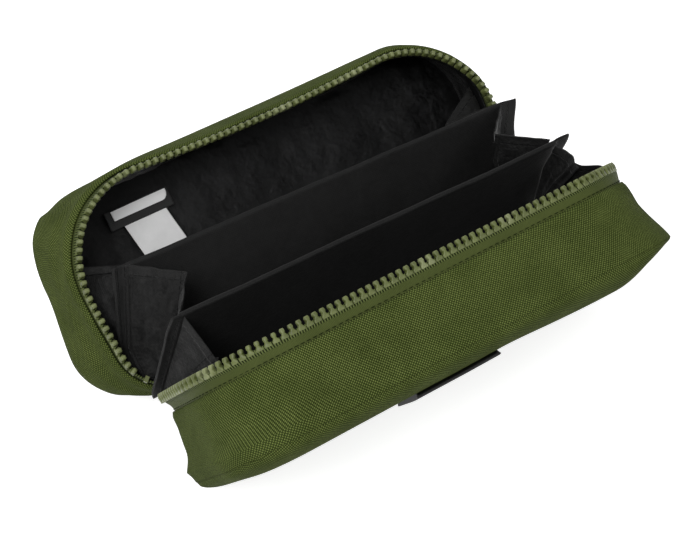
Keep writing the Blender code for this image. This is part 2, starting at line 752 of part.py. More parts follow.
for end, end_word in ((-1, "left"), (1, "right")):
    rear_seams = (
        wall_seam(REAR, end),
        divider_seam(REAR, REAR_DIVIDER_LEAN, 1, end),
    )
    middle_seams = (
        divider_seam(REAR, REAR_DIVIDER_LEAN, -1, end),
        divider_seam(FRONT, FRONT_DIVIDER_LEAN, 1, end),
    )
    front_seams = (
        divider_seam(FRONT, FRONT_DIVIDER_LEAN, -1, end),
        wall_seam(FRONT, end),
    )
    pleat(f"rear_gusset_{end_word}", *rear_seams, end, SIDE_PLEAT_TOP, SIDE_PLEAT_BOTTOM)
    pleat(f"middle_gusset_{end_word}", *middle_seams, end, PLEAT_DEPTH_TOP, PLEAT_DEPTH_BOTTOM)
    pleat(f"front_gusset_{end_word}", *front_seams, end, SIDE_PLEAT_TOP, SIDE_PLEAT_BOTTOM)
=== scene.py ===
import math

import bmesh
import bpy
from mathutils import Matrix, Vector, noise

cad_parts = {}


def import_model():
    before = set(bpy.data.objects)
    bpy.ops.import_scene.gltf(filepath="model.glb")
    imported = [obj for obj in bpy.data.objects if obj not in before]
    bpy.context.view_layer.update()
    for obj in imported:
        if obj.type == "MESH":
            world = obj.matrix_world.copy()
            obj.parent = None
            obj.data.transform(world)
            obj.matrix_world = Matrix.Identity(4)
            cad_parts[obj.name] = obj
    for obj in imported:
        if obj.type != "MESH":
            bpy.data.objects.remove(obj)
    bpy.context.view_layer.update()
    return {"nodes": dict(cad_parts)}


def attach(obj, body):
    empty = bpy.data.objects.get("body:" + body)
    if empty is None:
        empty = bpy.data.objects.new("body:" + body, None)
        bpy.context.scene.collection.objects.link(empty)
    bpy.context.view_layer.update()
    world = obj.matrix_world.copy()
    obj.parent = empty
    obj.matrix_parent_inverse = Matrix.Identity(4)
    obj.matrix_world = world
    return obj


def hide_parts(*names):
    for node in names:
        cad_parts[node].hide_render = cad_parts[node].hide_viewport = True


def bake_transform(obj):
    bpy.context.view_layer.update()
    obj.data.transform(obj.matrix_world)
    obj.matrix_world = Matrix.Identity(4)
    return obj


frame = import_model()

# The dressed pencil case: padded olive cloth, moulded zips, black satin lining and pleated gussets.
# A point of a half is x, d and w, as in the solids: d is the depth out from the zip's plane, and w the height
# above the fold. Metres.

MM = 0.001
QUARTER = math.pi / 2
REAR, FRONT = 1, -1
WORDS = {REAR: "rear", FRONT: "front"}
UP, DOWN = (0, 0, 1), (0, 0, -1)

# Sizes of the solids
RIM_WIDTH, RIM_HEIGHT, RIM_TOP, RIM_BASE = 212 * MM, 93 * MM, 46 * MM, 21 * MM
PANEL_WIDTH, PANEL_HEIGHT, PANEL_RADIUS = 223 * MM, 99 * MM, 31 * MM
DEPTH, CROWN, CROWN_INSET = 37 * MM, 5.6 * MM, 26 * MM
HALF_LEAN, FOLD_HEIGHT = math.radians(44.5), 26.02 * MM
GAP, CLOTH, FOAM, LINING, TAPE = 0.3 * MM, 1.0 * MM, 2.0 * MM, 0.6 * MM, 0.6 * MM
TAPE_START, TAPE_END, BAND_START = 2.3 * MM, 14.2 * MM, 8.0 * MM
TOOTH_PITCH, TOOTH_THICK = 3.45 * MM, 2.6 * MM
STOP_LENGTH, ZIP_END = 1.6 * MM, math.radians(48)
DIVIDER_SEAM, DIVIDER_HEIGHT, DIVIDER_THICK = 87 * MM, 49 * MM, 2.4 * MM
PIVOT_OUT, PIVOT_RISE = 3 * MM, 5 * MM
LEANS = {REAR: math.radians(19), FRONT: math.radians(-12)}
FIN_LENGTH, FIN_RISE = 7 * MM, 14 * MM
LEAF_FOOT = 1.0 * MM

# What follows from them
WALL = CLOTH + FOAM + LINING + 2 * GAP
TAPE_INSET = CLOTH + GAP + TAPE / 2
FOAM_INSET, LINING_INSET = CLOTH + GAP, CLOTH + GAP + FOAM + GAP
PANEL_BACK = DEPTH - CLOTH - 2 * GAP
LINING_FACE = PANEL_BACK - LINING
CORE_X, CORE_Y = PANEL_WIDTH / 2 - PANEL_RADIUS, PANEL_HEIGHT / 2 - PANEL_RADIUS
LINING_SCALE_X, LINING_SCALE_W = 1 - 2 * LINING_INSET / PANEL_WIDTH, 1 - 2 * LINING_INSET / PANEL_HEIGHT

# Thicknesses that the cloths show, the panels' swell past the solids' crown, and the lowest that cloth lies
SHELL_THICK, SATIN_THICK, LEAF_THICK, SLEEVE_THICK = 0.8 * MM, 0.4 * MM, 0.4 * MM, 0.35 * MM
PANEL_SWELL = {REAR: 1.0 * MM, FRONT: 1.7 * MM}
FLOOR_CLEARANCE = 0.1 * MM

# How far the middle of each rim sags, and how deep each panel wrinkles
RIM_SAG = {REAR: 4.2 * MM, FRONT: 0.8 * MM}
PANEL_WRINKLE = {REAR: 0.7 * MM, FRONT: 0.3 * MM}

# The band of each half: where it starts, how far it ends short of the panel, how deep it dips at either seam,
# how high it rolls beside the zip, the share of its wrinkles that it keeps, and its width laid flat
BAND = {
    REAR: {"start": 4.7 * MM, "short": 0.5 * MM, "zip_dip": 0.5 * MM, "panel_dip": 0.3 * MM,
           "roll": 0.9 * MM, "wrinkled": 1.0, "width": 32.5 * MM},
    FRONT: {"start": 8.1 * MM, "short": 0.1 * MM, "zip_dip": 0.55 * MM, "panel_dip": 0.12 * MM,
            "roll": 0.1 * MM, "wrinkled": 0.45, "width": 29.5 * MM}}

# The left fin of each divider's sleeve: how far it reaches past its seam, and how high its foot is. Then how
# far the right fin's head droops
FINS = {REAR: (7 * MM, 5 * MM, 0.8 * MM), FRONT: (5 * MM, 3 * MM, -0.7 * MM)}

# The slack left end of each divider: how far its seam and its tip move along the case at the foot, how far
# the foot stands out of the divider's plane, and the share of the height up to which it all holds
LEFT_SLACK = {REAR: (16.0 * MM, 3.5 * MM, 10.0 * MM, 0.3), FRONT: (13.5 * MM, 1.0 * MM, 2.5 * MM, 0.14)}

# How far each divider's head leans out of its plane at its left seam, and how much less at its right end
HEAD_LEAN = {REAR: (12.5 * MM, 16.8 * MM), FRONT: (1.0 * MM, 5.1 * MM)}

# Half of a tooth's outline in millimetres, from the block on the tape to the rounded head
TOOTH = (
    (-1.48, 3.3), (-1.48, 2.3), (-0.86, 1.45), (-0.70, 0.95), (-0.96, 0.45), (-0.98, -0.2), (-0.62, -0.9))

# Each pleat's crease in millimetres, by the pleat and its end of the case: how deep it folds in at its foot
# and at its top, how far its top droops, and the share of the way from its rear seam to its front one there
PLEATS = {
    ("rear", -1): (9.5, 11, 9, 0.5), ("rear", 1): (2.5, 15, 8, 0.38),
    ("middle", -1): (13, 15, 0.3, 0.5), ("middle", 1): (6, 17, -1.5, 0.5),
    ("front", -1): (-3, 3, 8, 0.5), ("front", 1): (4, 1.5, -2, 0.5)}

# How far the two leaves of the front right pleat belly outwards
BELLY = {"rear": 2.0 * MM, "front": 6.5 * MM}

# The photo's view: the picture's width and the focal length in pixels, the sensor's width in millimetres, and
# the camera's place and axes
PHOTO_WIDTH, FOCAL_LENGTH, SENSOR = 699, 1672.5, 36
CAMERA_PLACE = (-0.26964, -0.4742, 0.49621)
CAMERA_RIGHT, CAMERA_UP = (0.8292, -0.5517, -0.0896), (0.4128, 0.4964, 0.7637)
CAMERA_BACK = (-0.3768, -0.6702, 0.6394)


# Places

def half_matrix(side):
    """Where a half lies at rest: it leans back from the fold."""
    return Matrix.Translation((0, 0, FOLD_HEIGHT)) @ Matrix.Rotation(-side * HALF_LEAN, 4, "X")


def divider_matrix(side):
    """Where a divider stands at rest, on its pivot beside the fold."""
    pivot = half_matrix(side) @ Vector((0, side * PIVOT_OUT, PIVOT_RISE))
    return Matrix.Translation(pivot) @ Matrix.Rotation(-LEANS[side], 4, "X")


def turned(matrix, direction):
    """A direction of a half or a divider, in the room."""
    return matrix.to_3x3() @ Vector(direction)


def ease(value, start, end):
    """0 before start, 1 after end, and smooth between them."""
    t = min(max((value - start) / (end - start), 0), 1)
    return t * t * (3 - 2 * t)


def outline(depth):
    """Width, height, top radius and base radius of a half's outline at a depth."""
    share = min(depth / DEPTH, 1.0)
    rim = RIM_WIDTH, RIM_HEIGHT, RIM_TOP, RIM_BASE
    panel = PANEL_WIDTH, PANEL_HEIGHT, PANEL_RADIUS, PANEL_RADIUS
    return [a + (b - a) * share for a, b in zip(rim, panel)]


def round_length(depth):
    """The length of the way round the three zipped sides."""
    width, height, top, base = outline(depth)
    return 2 * (QUARTER * (base + top) + height - top - base) + width - 2 * top


def round_place(depth, share):
    """x, w and the outward direction at a share of the way round the three zipped sides, from their left."""
    width, height, top, base = outline(depth)
    half, flip = width / 2, -1 if share > 0.5 else 1
    run = (1 - share if share > 0.5 else share) * round_length(depth)
    side = height - top - base
    if run < QUARTER * base:
        a = run / base
        place = (-half + base - base * math.sin(a), base - base * math.cos(a), -math.sin(a), -math.cos(a))
    elif run < QUARTER * base + side:
        place = (-half, base + run - QUARTER * base, -1, 0)
    elif run < QUARTER * (base + top) + side:
        a = (run - QUARTER * base - side) / top
        place = (-half + top - top * math.cos(a), height - top + top * math.sin(a), -math.cos(a), math.sin(a))
    else:
        place = (-half + top + run - QUARTER * (base + top) - side, height, 0, 1)
    return flip * place[0], place[1], flip * place[2], place[3]


def full_corner(x, d, w):
    """1 where the rear half's left corner stands fuller than a round one, and 0 away from it."""
    high, top = ease(w, 62 * MM, 78 * MM), ease(w, 90 * MM, 100 * MM)
    left, deep = ease(-x, 92 * MM, 104 * MM), ease(d, 10 * MM, 30 * MM)
    return high * (1 - top) * left * deep


def sag(side, x, d, w):
    """How far the soft cloth rises from its place on the straight solid. It sags where this is below 0."""
    half_span, roundness, lost_at_panel = 98 * MM, 1.5, 0.8
    top, to_panel = ease(w, 60 * MM, RIM_HEIGHT), ease(d, 0, DEPTH)
    middle = max(0.0, 1 - (x / half_span) ** 2) ** roundness
    rise = -RIM_SAG[side] * top * middle * (1 - lost_at_panel * to_panel)
    if side == REAR:
        shoulder_drop, corner_rise, foot_rise, lost_at_end = 2.8 * MM, 3.4 * MM, 2.4 * MM, 0.7
        shoulder = ease(-x, 48 * MM, 84 * MM) * ease(w, 76 * MM, 97 * MM) * ease(d, 4 * MM, 24 * MM)
        low, near_panel = 1 - ease(w, 8 * MM, 20 * MM), ease(d, 16 * MM, DEPTH)
        left = ease(-x, 84 * MM, 92 * MM) * (1 - lost_at_end * ease(-x, 96 * MM, 104 * MM))
        rise -= shoulder_drop * shoulder
        rise += corner_rise * full_corner(x, d, w)
        rise += foot_rise * low * left * near_panel
    return rise


def rear_give(x, d, w):
    """The rear half's left end swells at its foot and is drawn in at its shoulder. The right end's foot is
    drawn in too."""
    foot_out, shoulder_in, corner_in, right_in = 5.0 * MM, 0.8 * MM, 1.85 * MM, 2.2 * MM
    left_foot = (1 - ease(w, 20 * MM, 62 * MM)) * ease(d, 6 * MM, 30 * MM) * ease(-x, 60 * MM, 102 * MM)
    shoulder = ease(-x, 68 * MM, 100 * MM) * ease(w, 72 * MM, 94 * MM) * ease(d, 4 * MM, 24 * MM)
    right_foot = ease(x, 80 * MM, 103 * MM) * (1 - ease(w, 42 * MM, 66 * MM)) * ease(w, 6 * MM, 20 * MM)
    drawn_in = shoulder_in * shoulder + corner_in * full_corner(x, d, w)
    return drawn_in - foot_out * left_foot - right_in * right_foot


def front_drawn(x, d):
    """How far the front half's ends are drawn in: the right one most at its panel, the left one beside its
    zip and a little at its panel."""
    if x > 0:
        everywhere, at_panel, halfway = 1.5 * MM, 8.0 * MM, 2.8 * MM
        rounded = ease(d, 1 * MM, 9 * MM) * (1 - ease(d, 18 * MM, 33 * MM))
        return everywhere + at_panel * ease(d, 1 * MM, 33 * MM) + halfway * rounded
    beside_zip, let_out = 3.4 * MM, 5.0 * MM
    return abs(beside_zip * ease(d, 1 * MM, 8 * MM) - let_out * ease(d, 24 * MM, DEPTH))


def give(side, x, d, w):
    """How far the soft walls give along the case. The halves lie a tooth's pitch apart."""
    if side == REAR:
        return rear_give(x, d, w) - TOOTH_PITCH / 2 * ease(w, 8 * MM, 50 * MM)
    low, end = ease(w, 1 * MM, 16 * MM), ease(abs(x), 55 * MM, 105 * MM)
    return TOOTH_PITCH / 2 * low - math.copysign(front_drawn(x, d) * end * low, x)


def put(side, x, d, w):
    """A point of a half in the room, with its sag and give. Cloth lies flat where it meets the floor."""
    point = half_matrix(side) @ Vector((x + give(side, x, d, w), side * d, w + sag(side, x, d, w)))
    point.z = max(point.z, FLOOR_CLEARANCE)
    return point


def wall_point(side, share, d, inset):
    """A point of the wall at a share of the way round, this far in from its outer face."""
    x, w, out_x, out_w = round_place(d, share)
    return put(side, x - out_x * inset, d, w - out_w * inset)


def rough(u, v, size, seed=0.0):
    """Smooth noise between -1 and 1 on a piece of cloth."""
    return noise.noise(Vector((u / size, v / size, 7.3 * seed)))


def folds(u, v, long, short, seed=0.0):
    """Noise drawn out along u: soft wrinkles that run that way."""
    return noise.noise(Vector((u / long, v / short, 5.1 * seed + 0.3)))


# Finishes

class Term:
    """A socket that Python sums and products work on."""

    def __init__(self, finish, socket):
        self.finish, self.socket = finish, socket

    def math(self, operation, *others):
        return self.finish.node("ShaderNodeMath", {"operation": operation}, dict(enumerate((self,) + others)))

    def __add__(self, other):
        return self.math("ADD", other)

    def __sub__(self, other):
        return self.math("SUBTRACT", other)

    def __rsub__(self, other):
        return self.finish.node("ShaderNodeMath", {"operation": "SUBTRACT"}, {0: other, 1: self})

    def __mul__(self, other):
        return self.math("MULTIPLY", other)

    def __truediv__(self, other):
        return self.math("DIVIDE", other)

    def __pow__(self, other):
        return self.math("POWER", other)

    __radd__, __rmul__ = __add__, __mul__

    def band(self, low, high):
        """0 below low, 1 above high, smooth between."""
        return self.finish.node("ShaderNodeMapRange", {"interpolation_type": "SMOOTHSTEP"}, {
            "Value": self, "From Min": low, "From Max": high})


class Finish:
    """One material. Its pattern follows the piece's own cloth map, in metres, or the object's own place."""

    def __init__(self, name, colour, specular=None, **constants):
        self.material = bpy.data.materials.new(name)
        self.material.use_nodes = True
        self.tree = self.material.node_tree
        self.shader = self.tree.nodes["Principled BSDF"]
        self.shader.inputs["Base Color"].default_value = (*colour, 1)
        self.material.diffuse_color = (*colour, 1)
        for key, value in constants.items():
            self.shader.inputs[key.replace("_", " ").title()].default_value = value
        if specular is not None:
            self.shader.inputs["Specular IOR Level"].default_value = specular

    def node(self, kind, settings=None, sockets=None, output=0):
        made = self.tree.nodes.new(kind)
        for key, value in (settings or {}).items():
            setattr(made, key, value)
        for key, value in (sockets or {}).items():
            if isinstance(value, Term):
                self.tree.links.new(value.socket, made.inputs[key])
            else:
                made.inputs[key].default_value = value
        return Term(self, made.outputs[output])

    def feed(self, socket, term):
        self.tree.links.new(term.socket, self.shader.inputs[socket])

    def cloth_map(self):
        """The place on the cut cloth, along and across."""
        split = {"Vector": self.node("ShaderNodeUVMap", {"uv_map": "cloth"})}
        return [self.node("ShaderNodeSeparateXYZ", {}, split, axis) for axis in (0, 1)]

    def place(self):
        return self.node("ShaderNodeTexCoord", {}, {}, "Object")

    def spots(self, size, detail=2.0):
        """Noise from 0 to 1 with spots of this size."""
        return self.node("ShaderNodeTexNoise", {}, {
            "Vector": self.place(), "Scale": 1 / size, "Detail": detail})

    def mix(self, factor, first, second):
        ends = {0: factor, 6: first, 7: second}
        for key in (6, 7):
            if not isinstance(ends[key], Term):
                ends[key] = (*ends[key], 1)
        return self.node("ShaderNodeMix", {"data_type": "RGBA"}, ends, 2)

    def bump(self, height, distance):
        self.feed("Normal", self.node("ShaderNodeBump", {}, {
            "Height": height, "Distance": distance, "Strength": 1.0}))

    def line(self, value, at, width):
        """1 on a thin line where value is at this number."""
        return 1 - (value - at).math("ABSOLUTE").band(width * 0.4, width)

    def dashes(self, run, pitch, share=0.62):
        """1 along each dash, and 0 in the gaps between them."""
        return 1 - (run / pitch).math("FRACT").band(share, share + 0.1)

    def waves(self, turns):
        """A wave from 0 to 1 that repeats at each whole turn."""
        return (turns * (2 * math.pi)).math("SINE") * 0.5 + 0.5

    def plain_weave(self, u, v, pitch):
        """Height of a plain weave, each thread over one and under the next, and where the warp is on top."""
        across, along = u / pitch, v / pitch
        warp_round = (across * math.pi).math("SINE").math("ABSOLUTE")
        weft_round = (along * math.pi).math("SINE").math("ABSOLUTE")
        warp_wave = ((along - 0.5 - across.math("FLOOR")) * math.pi).math("COSINE")
        weft_wave = ((across - 0.5 - along.math("FLOOR")) * math.pi).math("COSINE")
        warp = warp_round * 0.55 + warp_wave * 0.45
        weft = weft_round * 0.55 - weft_wave * 0.45
        return warp.math("MAXIMUM", weft), (warp - weft).band(-0.1, 0.4)


def shell_finish():
    """Olive woven cloth: the threads' tops are painted light as painted highlight, the crossings painted dark
    as painted shade, and soft patches vary it.
    """
    light, dark, roughness, pitch = (0.168, 0.209, 0.057), (0.010, 0.018, 0.0012), 0.9, 0.62 * MM
    cloth = Finish("olive weave", light, specular=0.08, roughness=roughness)
    weave, warp = cloth.plain_weave(*cloth.cloth_map(), pitch)
    soft, thread = cloth.spots(14 * MM, 3.0), cloth.spots(pitch * 1.3, 1.0)
    # Painted highlight and shade: the threads' tops are painted light and the crossings between them dark, as
    # light falls on the weave.
    lit = ((warp * 0.7 + weave.band(0.2, 0.95) * 0.3) * (0.6 + thread * 0.8)) ** 1.5
    cloth.feed("Base Color", cloth.mix(soft.band(0.3, 0.7) * 0.25, cloth.mix(lit, dark, light), dark))
    cloth.feed("Roughness", roughness + (soft - 0.5) * 0.15)
    cloth.bump(weave + soft * 0.6, 0.22 * MM)
    return cloth.material


def tape_finish():
    """Zip tape: fine herringbone, with the binding threads' ribs beside the teeth. The ribs' tops are painted
    light and the gaps between them dark, as painted highlight and painted shade.
    """
    stripe_width, herring_pitch, bound_width = 0.9 * MM, 0.55 * MM, (4.1 * MM, 4.6 * MM)
    cloth = Finish("olive tape", (0.08, 0.105, 0.035), specular=0.1, roughness=0.7, sheen_weight=0.03)
    u, v = cloth.cloth_map()
    stripe = (v / stripe_width).math("FRACT").math("SUBTRACT", 0.5).math("ABSOLUTE")
    herring = cloth.waves(u / herring_pitch + stripe * 1.6)
    rib = cloth.waves(u / (TOOTH_PITCH / 3)).band(0.35, 0.75)
    by_teeth = 1 - v.band(*bound_width)
    soft = cloth.spots(9 * MM, 3.0)
    flat = cloth.mix(herring * 0.7 + soft * 0.3, (0.018, 0.028, 0.003), (0.108, 0.132, 0.037))
    # The ribs are painted light on their tops and dark in the gaps between them, as painted highlight and
    # painted shade.
    bound = cloth.mix(rib, (0.012, 0.019, 0.002), (0.115, 0.142, 0.044))
    cloth.feed("Base Color", cloth.mix(by_teeth, flat, bound))
    cloth.feed("Roughness", 0.55 + soft * 0.2)
    cloth.bump(herring * 0.35 * (1 - by_teeth) + rib * by_teeth * 1.4 + soft * 0.5, 0.14 * MM)
    return cloth.material


def moulded_finish():
    """Semi-matt moulded plastic. Its edges are painted paler, partly as wear and partly as painted highlight,
    and scattered patches are painted pale as painted glints.
    """
    teeth = Finish("olive moulding", (0.10, 0.118, 0.04), specular=0.3, roughness=0.42)
    soft, fine = teeth.spots(5 * MM), teeth.spots(0.5 * MM, 3.0)
    edge_wear_and_highlight = teeth.node("ShaderNodeNewGeometry", {}, {}, "Pointiness").band(0.5, 0.62)
    painted_glints = teeth.spots(13 * MM, 0.0).band(0.62, 0.72)
    colour = teeth.mix(soft.band(0.25, 0.75), (0.070, 0.086, 0.021), (0.138, 0.164, 0.048))
    # The pale colour on the edges is partly wear and partly painted highlight; the pale patches are painted
    # glints.
    teeth.feed("Base Color", teeth.mix(edge_wear_and_highlight * 0.3 + painted_glints * 0.4, colour, (0.34, 0.37, 0.20)))
    teeth.feed("Roughness", 0.3 + soft * 0.2)
    teeth.bump(fine * 0.5 + soft, 0.05 * MM)
    return teeth.material


def satin_finish():
    """Black lining: fine filling threads, a soft grey sheen and shallow crumples."""
    lining = Finish("black satin lining", (0.005, 0.005, 0.005), specular=0.22, roughness=0.42,
                    sheen_weight=0.03, sheen_roughness=0.35)
    fine, _ = lining.plain_weave(*lining.cloth_map(), 0.32 * MM)
    soft, crumple = lining.spots(18 * MM, 3.0), lining.spots(5 * MM, 3.0)
    tone = soft.band(0.3, 0.75) * 0.7 + fine * 0.2
    lining.feed("Base Color", lining.mix(tone, (0.0014, 0.0014, 0.0015), (0.0062, 0.0062, 0.0064)))
    lining.feed("Roughness", 0.26 + soft * 0.2)
    lining.bump(fine * 0.10 + crumple * 0.9 + soft * 4.2, 0.8 * MM)
    return lining.material


def nylon_finish(name, seams, crush=1.0):
    """Matt black nylon of the dividers and gussets. seams gives the stitched lines from the cloth's map, as
    a mask of the line, one of its dashes, and one of the doubled cloth beside it. The doubled hems are
    painted lighter as painted highlight, and the crumples are painted lighter as painted shading."""
    cloth = Finish(name, (0.008, 0.008, 0.008), specular=0.25, roughness=0.6,
                   sheen_weight=0.06, sheen_roughness=0.4)
    u, v = cloth.cloth_map()
    weave, warp = cloth.plain_weave(u, v, 0.6 * MM)
    groove, dash, doubled_hem_and_highlight = seams(cloth, u, v)
    soft, crumple = cloth.spots(22 * MM, 3.0), cloth.spots(6 * MM)
    fleck = cloth.spots(1.3 * MM).band(0.36, 0.64)
    # Painted light: the doubled hems are painted lighter as painted highlight, and the crumples are painted
    # lighter as painted shading of the crumples.
    tone = warp * 0.4 + soft * 0.35 + doubled_hem_and_highlight * 0.25 + crumple.band(0.42, 0.62) * (0.09 * crush)
    tone = tone + (fleck - 0.62) * (0.16 * crush)
    colour = cloth.mix(tone, (0.0012, 0.0012, 0.0012), (0.0118, 0.0118, 0.0115))
    cloth.feed("Base Color", cloth.mix(groove * 0.7, colour, (0.0015, 0.0015, 0.0015)))
    cloth.feed("Roughness", 0.52 + soft * 0.2)
    crumpled = crumple * crush + soft * crush + fleck * (0.12 * crush)
    cloth.bump(weave * 0.3 + crumpled + doubled_hem_and_highlight * 1.2 - groove * dash * 2.5, 0.24 * MM)
    return cloth.material


def sleeve_seams(cloth, u, v):
    """The divider's fins are sewn through at their root, and their ends are hemmed."""
    reach = u.math("ABSOLUTE")
    root, hem = cloth.line(reach, 88.6 * MM, 0.5 * MM), cloth.line(reach, 92.6 * MM, 0.35 * MM)
    return root.math("MAXIMUM", hem * 0.6), cloth.dashes(v, 2.6 * MM), reach.band(91.8 * MM, 92.4 * MM)


def leaf_seams(cloth, u, v):
    """A leaf's top is hemmed, and its crease is edge stitched. v is 0 at its top, and u 0 at its crease."""
    hem, edge = cloth.line(v, -4 * MM, 0.45 * MM), cloth.line(u, -1.6 * MM, 0.35 * MM)
    return hem.math("MAXIMUM", edge * 0.6), cloth.dashes(u - v, 2.6 * MM), v.band(-4.2 * MM, -3.7 * MM)


def thread_finish(name, colour):
    """Twisted thread."""
    thread = Finish(name, colour, specular=0.1, roughness=0.8)
    twist = thread.node("ShaderNodeTexWave", {"bands_direction": "DIAGONAL"}, {
        "Vector": thread.place(), "Scale": 900.0, "Distortion": 1.0})
    thread.feed("Base Color", thread.mix(twist, tuple(c * 0.6 for c in colour), colour))
    thread.bump(twist, 0.05 * MM)
    return thread.material


def label_finish(name, light, dark, roughness):
    """Woven label tape. Its light and dark threads are plain greys."""
    cloth = Finish(name, (light,) * 3, roughness=roughness, sheen_weight=0.1)
    weave, _ = cloth.plain_weave(*cloth.cloth_map(), 0.3 * MM)
    soft = cloth.spots(4 * MM, 3.0)
    cloth.feed("Base Color", cloth.mix(weave * 0.4 + soft * 0.6, (dark,) * 3, (light,) * 3))
    cloth.feed("Roughness", roughness - 0.1 + soft * 0.2)
    cloth.bump(weave * 0.4 + soft, 0.08 * MM)
    return cloth.material


def speckled(name, light, dark, roughness, size, metallic=0.0, deep=0.05 * MM):
    """A finish with grain: foam, card, rubber or cast metal."""
    finish = Finish(name, light, roughness=roughness, metallic=metallic)
    grain, soft = finish.spots(size, 3.0), finish.spots(size * 12)
    finish.feed("Base Color", finish.mix(grain * 0.6 + soft * 0.4, dark, light))
    finish.feed("Roughness", roughness - 0.08 + grain * 0.16)
    finish.bump(grain, deep)
    return finish.material


SHELL, TAPE_CLOTH, MOULDED, SATIN = shell_finish(), tape_finish(), moulded_finish(), satin_finish()
SLEEVE = nylon_finish("black nylon sleeve", sleeve_seams)
LEAF = nylon_finish("black nylon leaf", leaf_seams, 3.0)
GREEN_THREAD = thread_finish("olive thread", (0.018, 0.028, 0.004))
CARE_SATIN = label_finish("grey care satin", 0.82, 0.66, 0.5)
BLACK_LABEL = label_finish("black label tape", 0.009, 0.003, 0.7)
WHITE_LABEL = label_finish("white label tape", 0.93, 0.84, 0.6)
RUBBER = speckled("black patch rubber", (0.010, 0.010, 0.010), (0.004, 0.004, 0.004), 0.55, 0.6 * MM)
METAL = speckled("gunmetal slider", (0.16, 0.17, 0.13), (0.09, 0.10, 0.07), 0.34, 0.8 * MM, 0.9, 0.02 * MM)
FOAM_GREY = speckled("grey sheet foam", (0.14, 0.14, 0.14), (0.06, 0.06, 0.06), 0.95, 0.9 * MM, deep=0.2 * MM)
CARD = speckled("grey board", (0.24, 0.22, 0.19), (0.15, 0.14, 0.12), 0.9, 0.7 * MM)


# Making pieces

def finished(name, bm, finish, body=None, replaces=()):
    """A piece in its finish and slot, that rides on a body and takes the place of these solids."""
    mesh = bpy.data.meshes.new(name)
    bm.to_mesh(mesh)
    bm.free()
    mesh.materials.append(finish)
    piece = bpy.data.objects.new(name, mesh)
    bpy.context.scene.collection.objects.link(piece)
    for polygon in mesh.polygons:
        polygon.use_smooth = True
    if replaces:
        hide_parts(*replaces)
    if body:
        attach(piece, body)
    return piece


def cut(wide, tall, left=0.0, low=0.0):
    """A plain rectangle of cloth: its place on the cut cloth at a share along and across."""
    return lambda u, v: (left + u * wide, low + v * tall)


def cloth_grid(columns, rows, place, flat, facing):
    """A cloth from a grid. place gives the world point at a share along and across, flat its place on the cut
    cloth in metres, and facing the side that its middle shows."""
    bm = bmesh.new()
    bmesh.ops.create_grid(bm, x_segments=columns, y_segments=rows, size=0.5)
    layer = bm.loops.layers.uv.new("cloth")
    bm.verts.ensure_lookup_table()
    bm.verts.index_update()
    laid = []
    for vert in bm.verts:
        u, v = vert.co.x + 0.5, vert.co.y + 0.5
        laid.append(flat(u, v))
        vert.co = place(u, v)
    for face in bm.faces:
        for loop in face.loops:
            loop[layer].uv = laid[loop.vert.index]
    bm.normal_update()
    middle = min(bm.faces, key=lambda face: sum((c - 0.5) ** 2 for c in shares_of(face, laid, flat)))
    if middle.normal.dot(Vector(facing)) < 0:
        bmesh.ops.reverse_faces(bm, faces=bm.faces)
    return bm


def shares_of(face, laid, flat):
    """Where a face's first corner lies on the cut cloth, as shares."""
    low, high = flat(0, 0), flat(1, 1)
    at = laid[face.verts[0].index]
    return [(at[k] - low[k]) / (high[k] - low[k]) for k in (0, 1)]


def thicken(piece, thickness):
    """Gives a cloth its thickness, behind the side that shows."""
    solid = piece.modifiers.new("thickness", "SOLIDIFY")
    solid.thickness = thickness
    solid.offset = -1.0
    return piece


def half_cloth(side, name, node, bm, finish, thickness):
    """A cloth that rides on one half, in the place of one of its solids."""
    word = WORDS[side]
    piece = finished(f"{word}_{name}", bm, finish, f"{word}_half", [f"{word}_{node}"])
    return thicken(piece, thickness)


def applied(piece):
    """Makes a piece's modifiers part of its mesh."""
    bpy.context.view_layer.update()
    graph = bpy.context.evaluated_depsgraph_get()
    mesh = bpy.data.meshes.new_from_object(piece.evaluated_get(graph))
    old = piece.data
    piece.modifiers.clear()
    piece.data = mesh
    bpy.data.meshes.remove(old)
    return piece


def repeated(one, matrices):
    """One mesh that holds a copy of a small one at each matrix."""
    mesh = bpy.data.meshes.new("one")
    one.to_mesh(mesh)
    one.free()
    bm = bmesh.new()
    for matrix in matrices:
        before = len(bm.verts)
        bm.from_mesh(mesh)
        bm.verts.ensure_lookup_table()
        bmesh.ops.transform(bm, matrix=matrix, verts=bm.verts[before:])
    bpy.data.meshes.remove(mesh)
    bmesh.ops.recalc_face_normals(bm, faces=bm.faces)
    return bm


# The padded shell

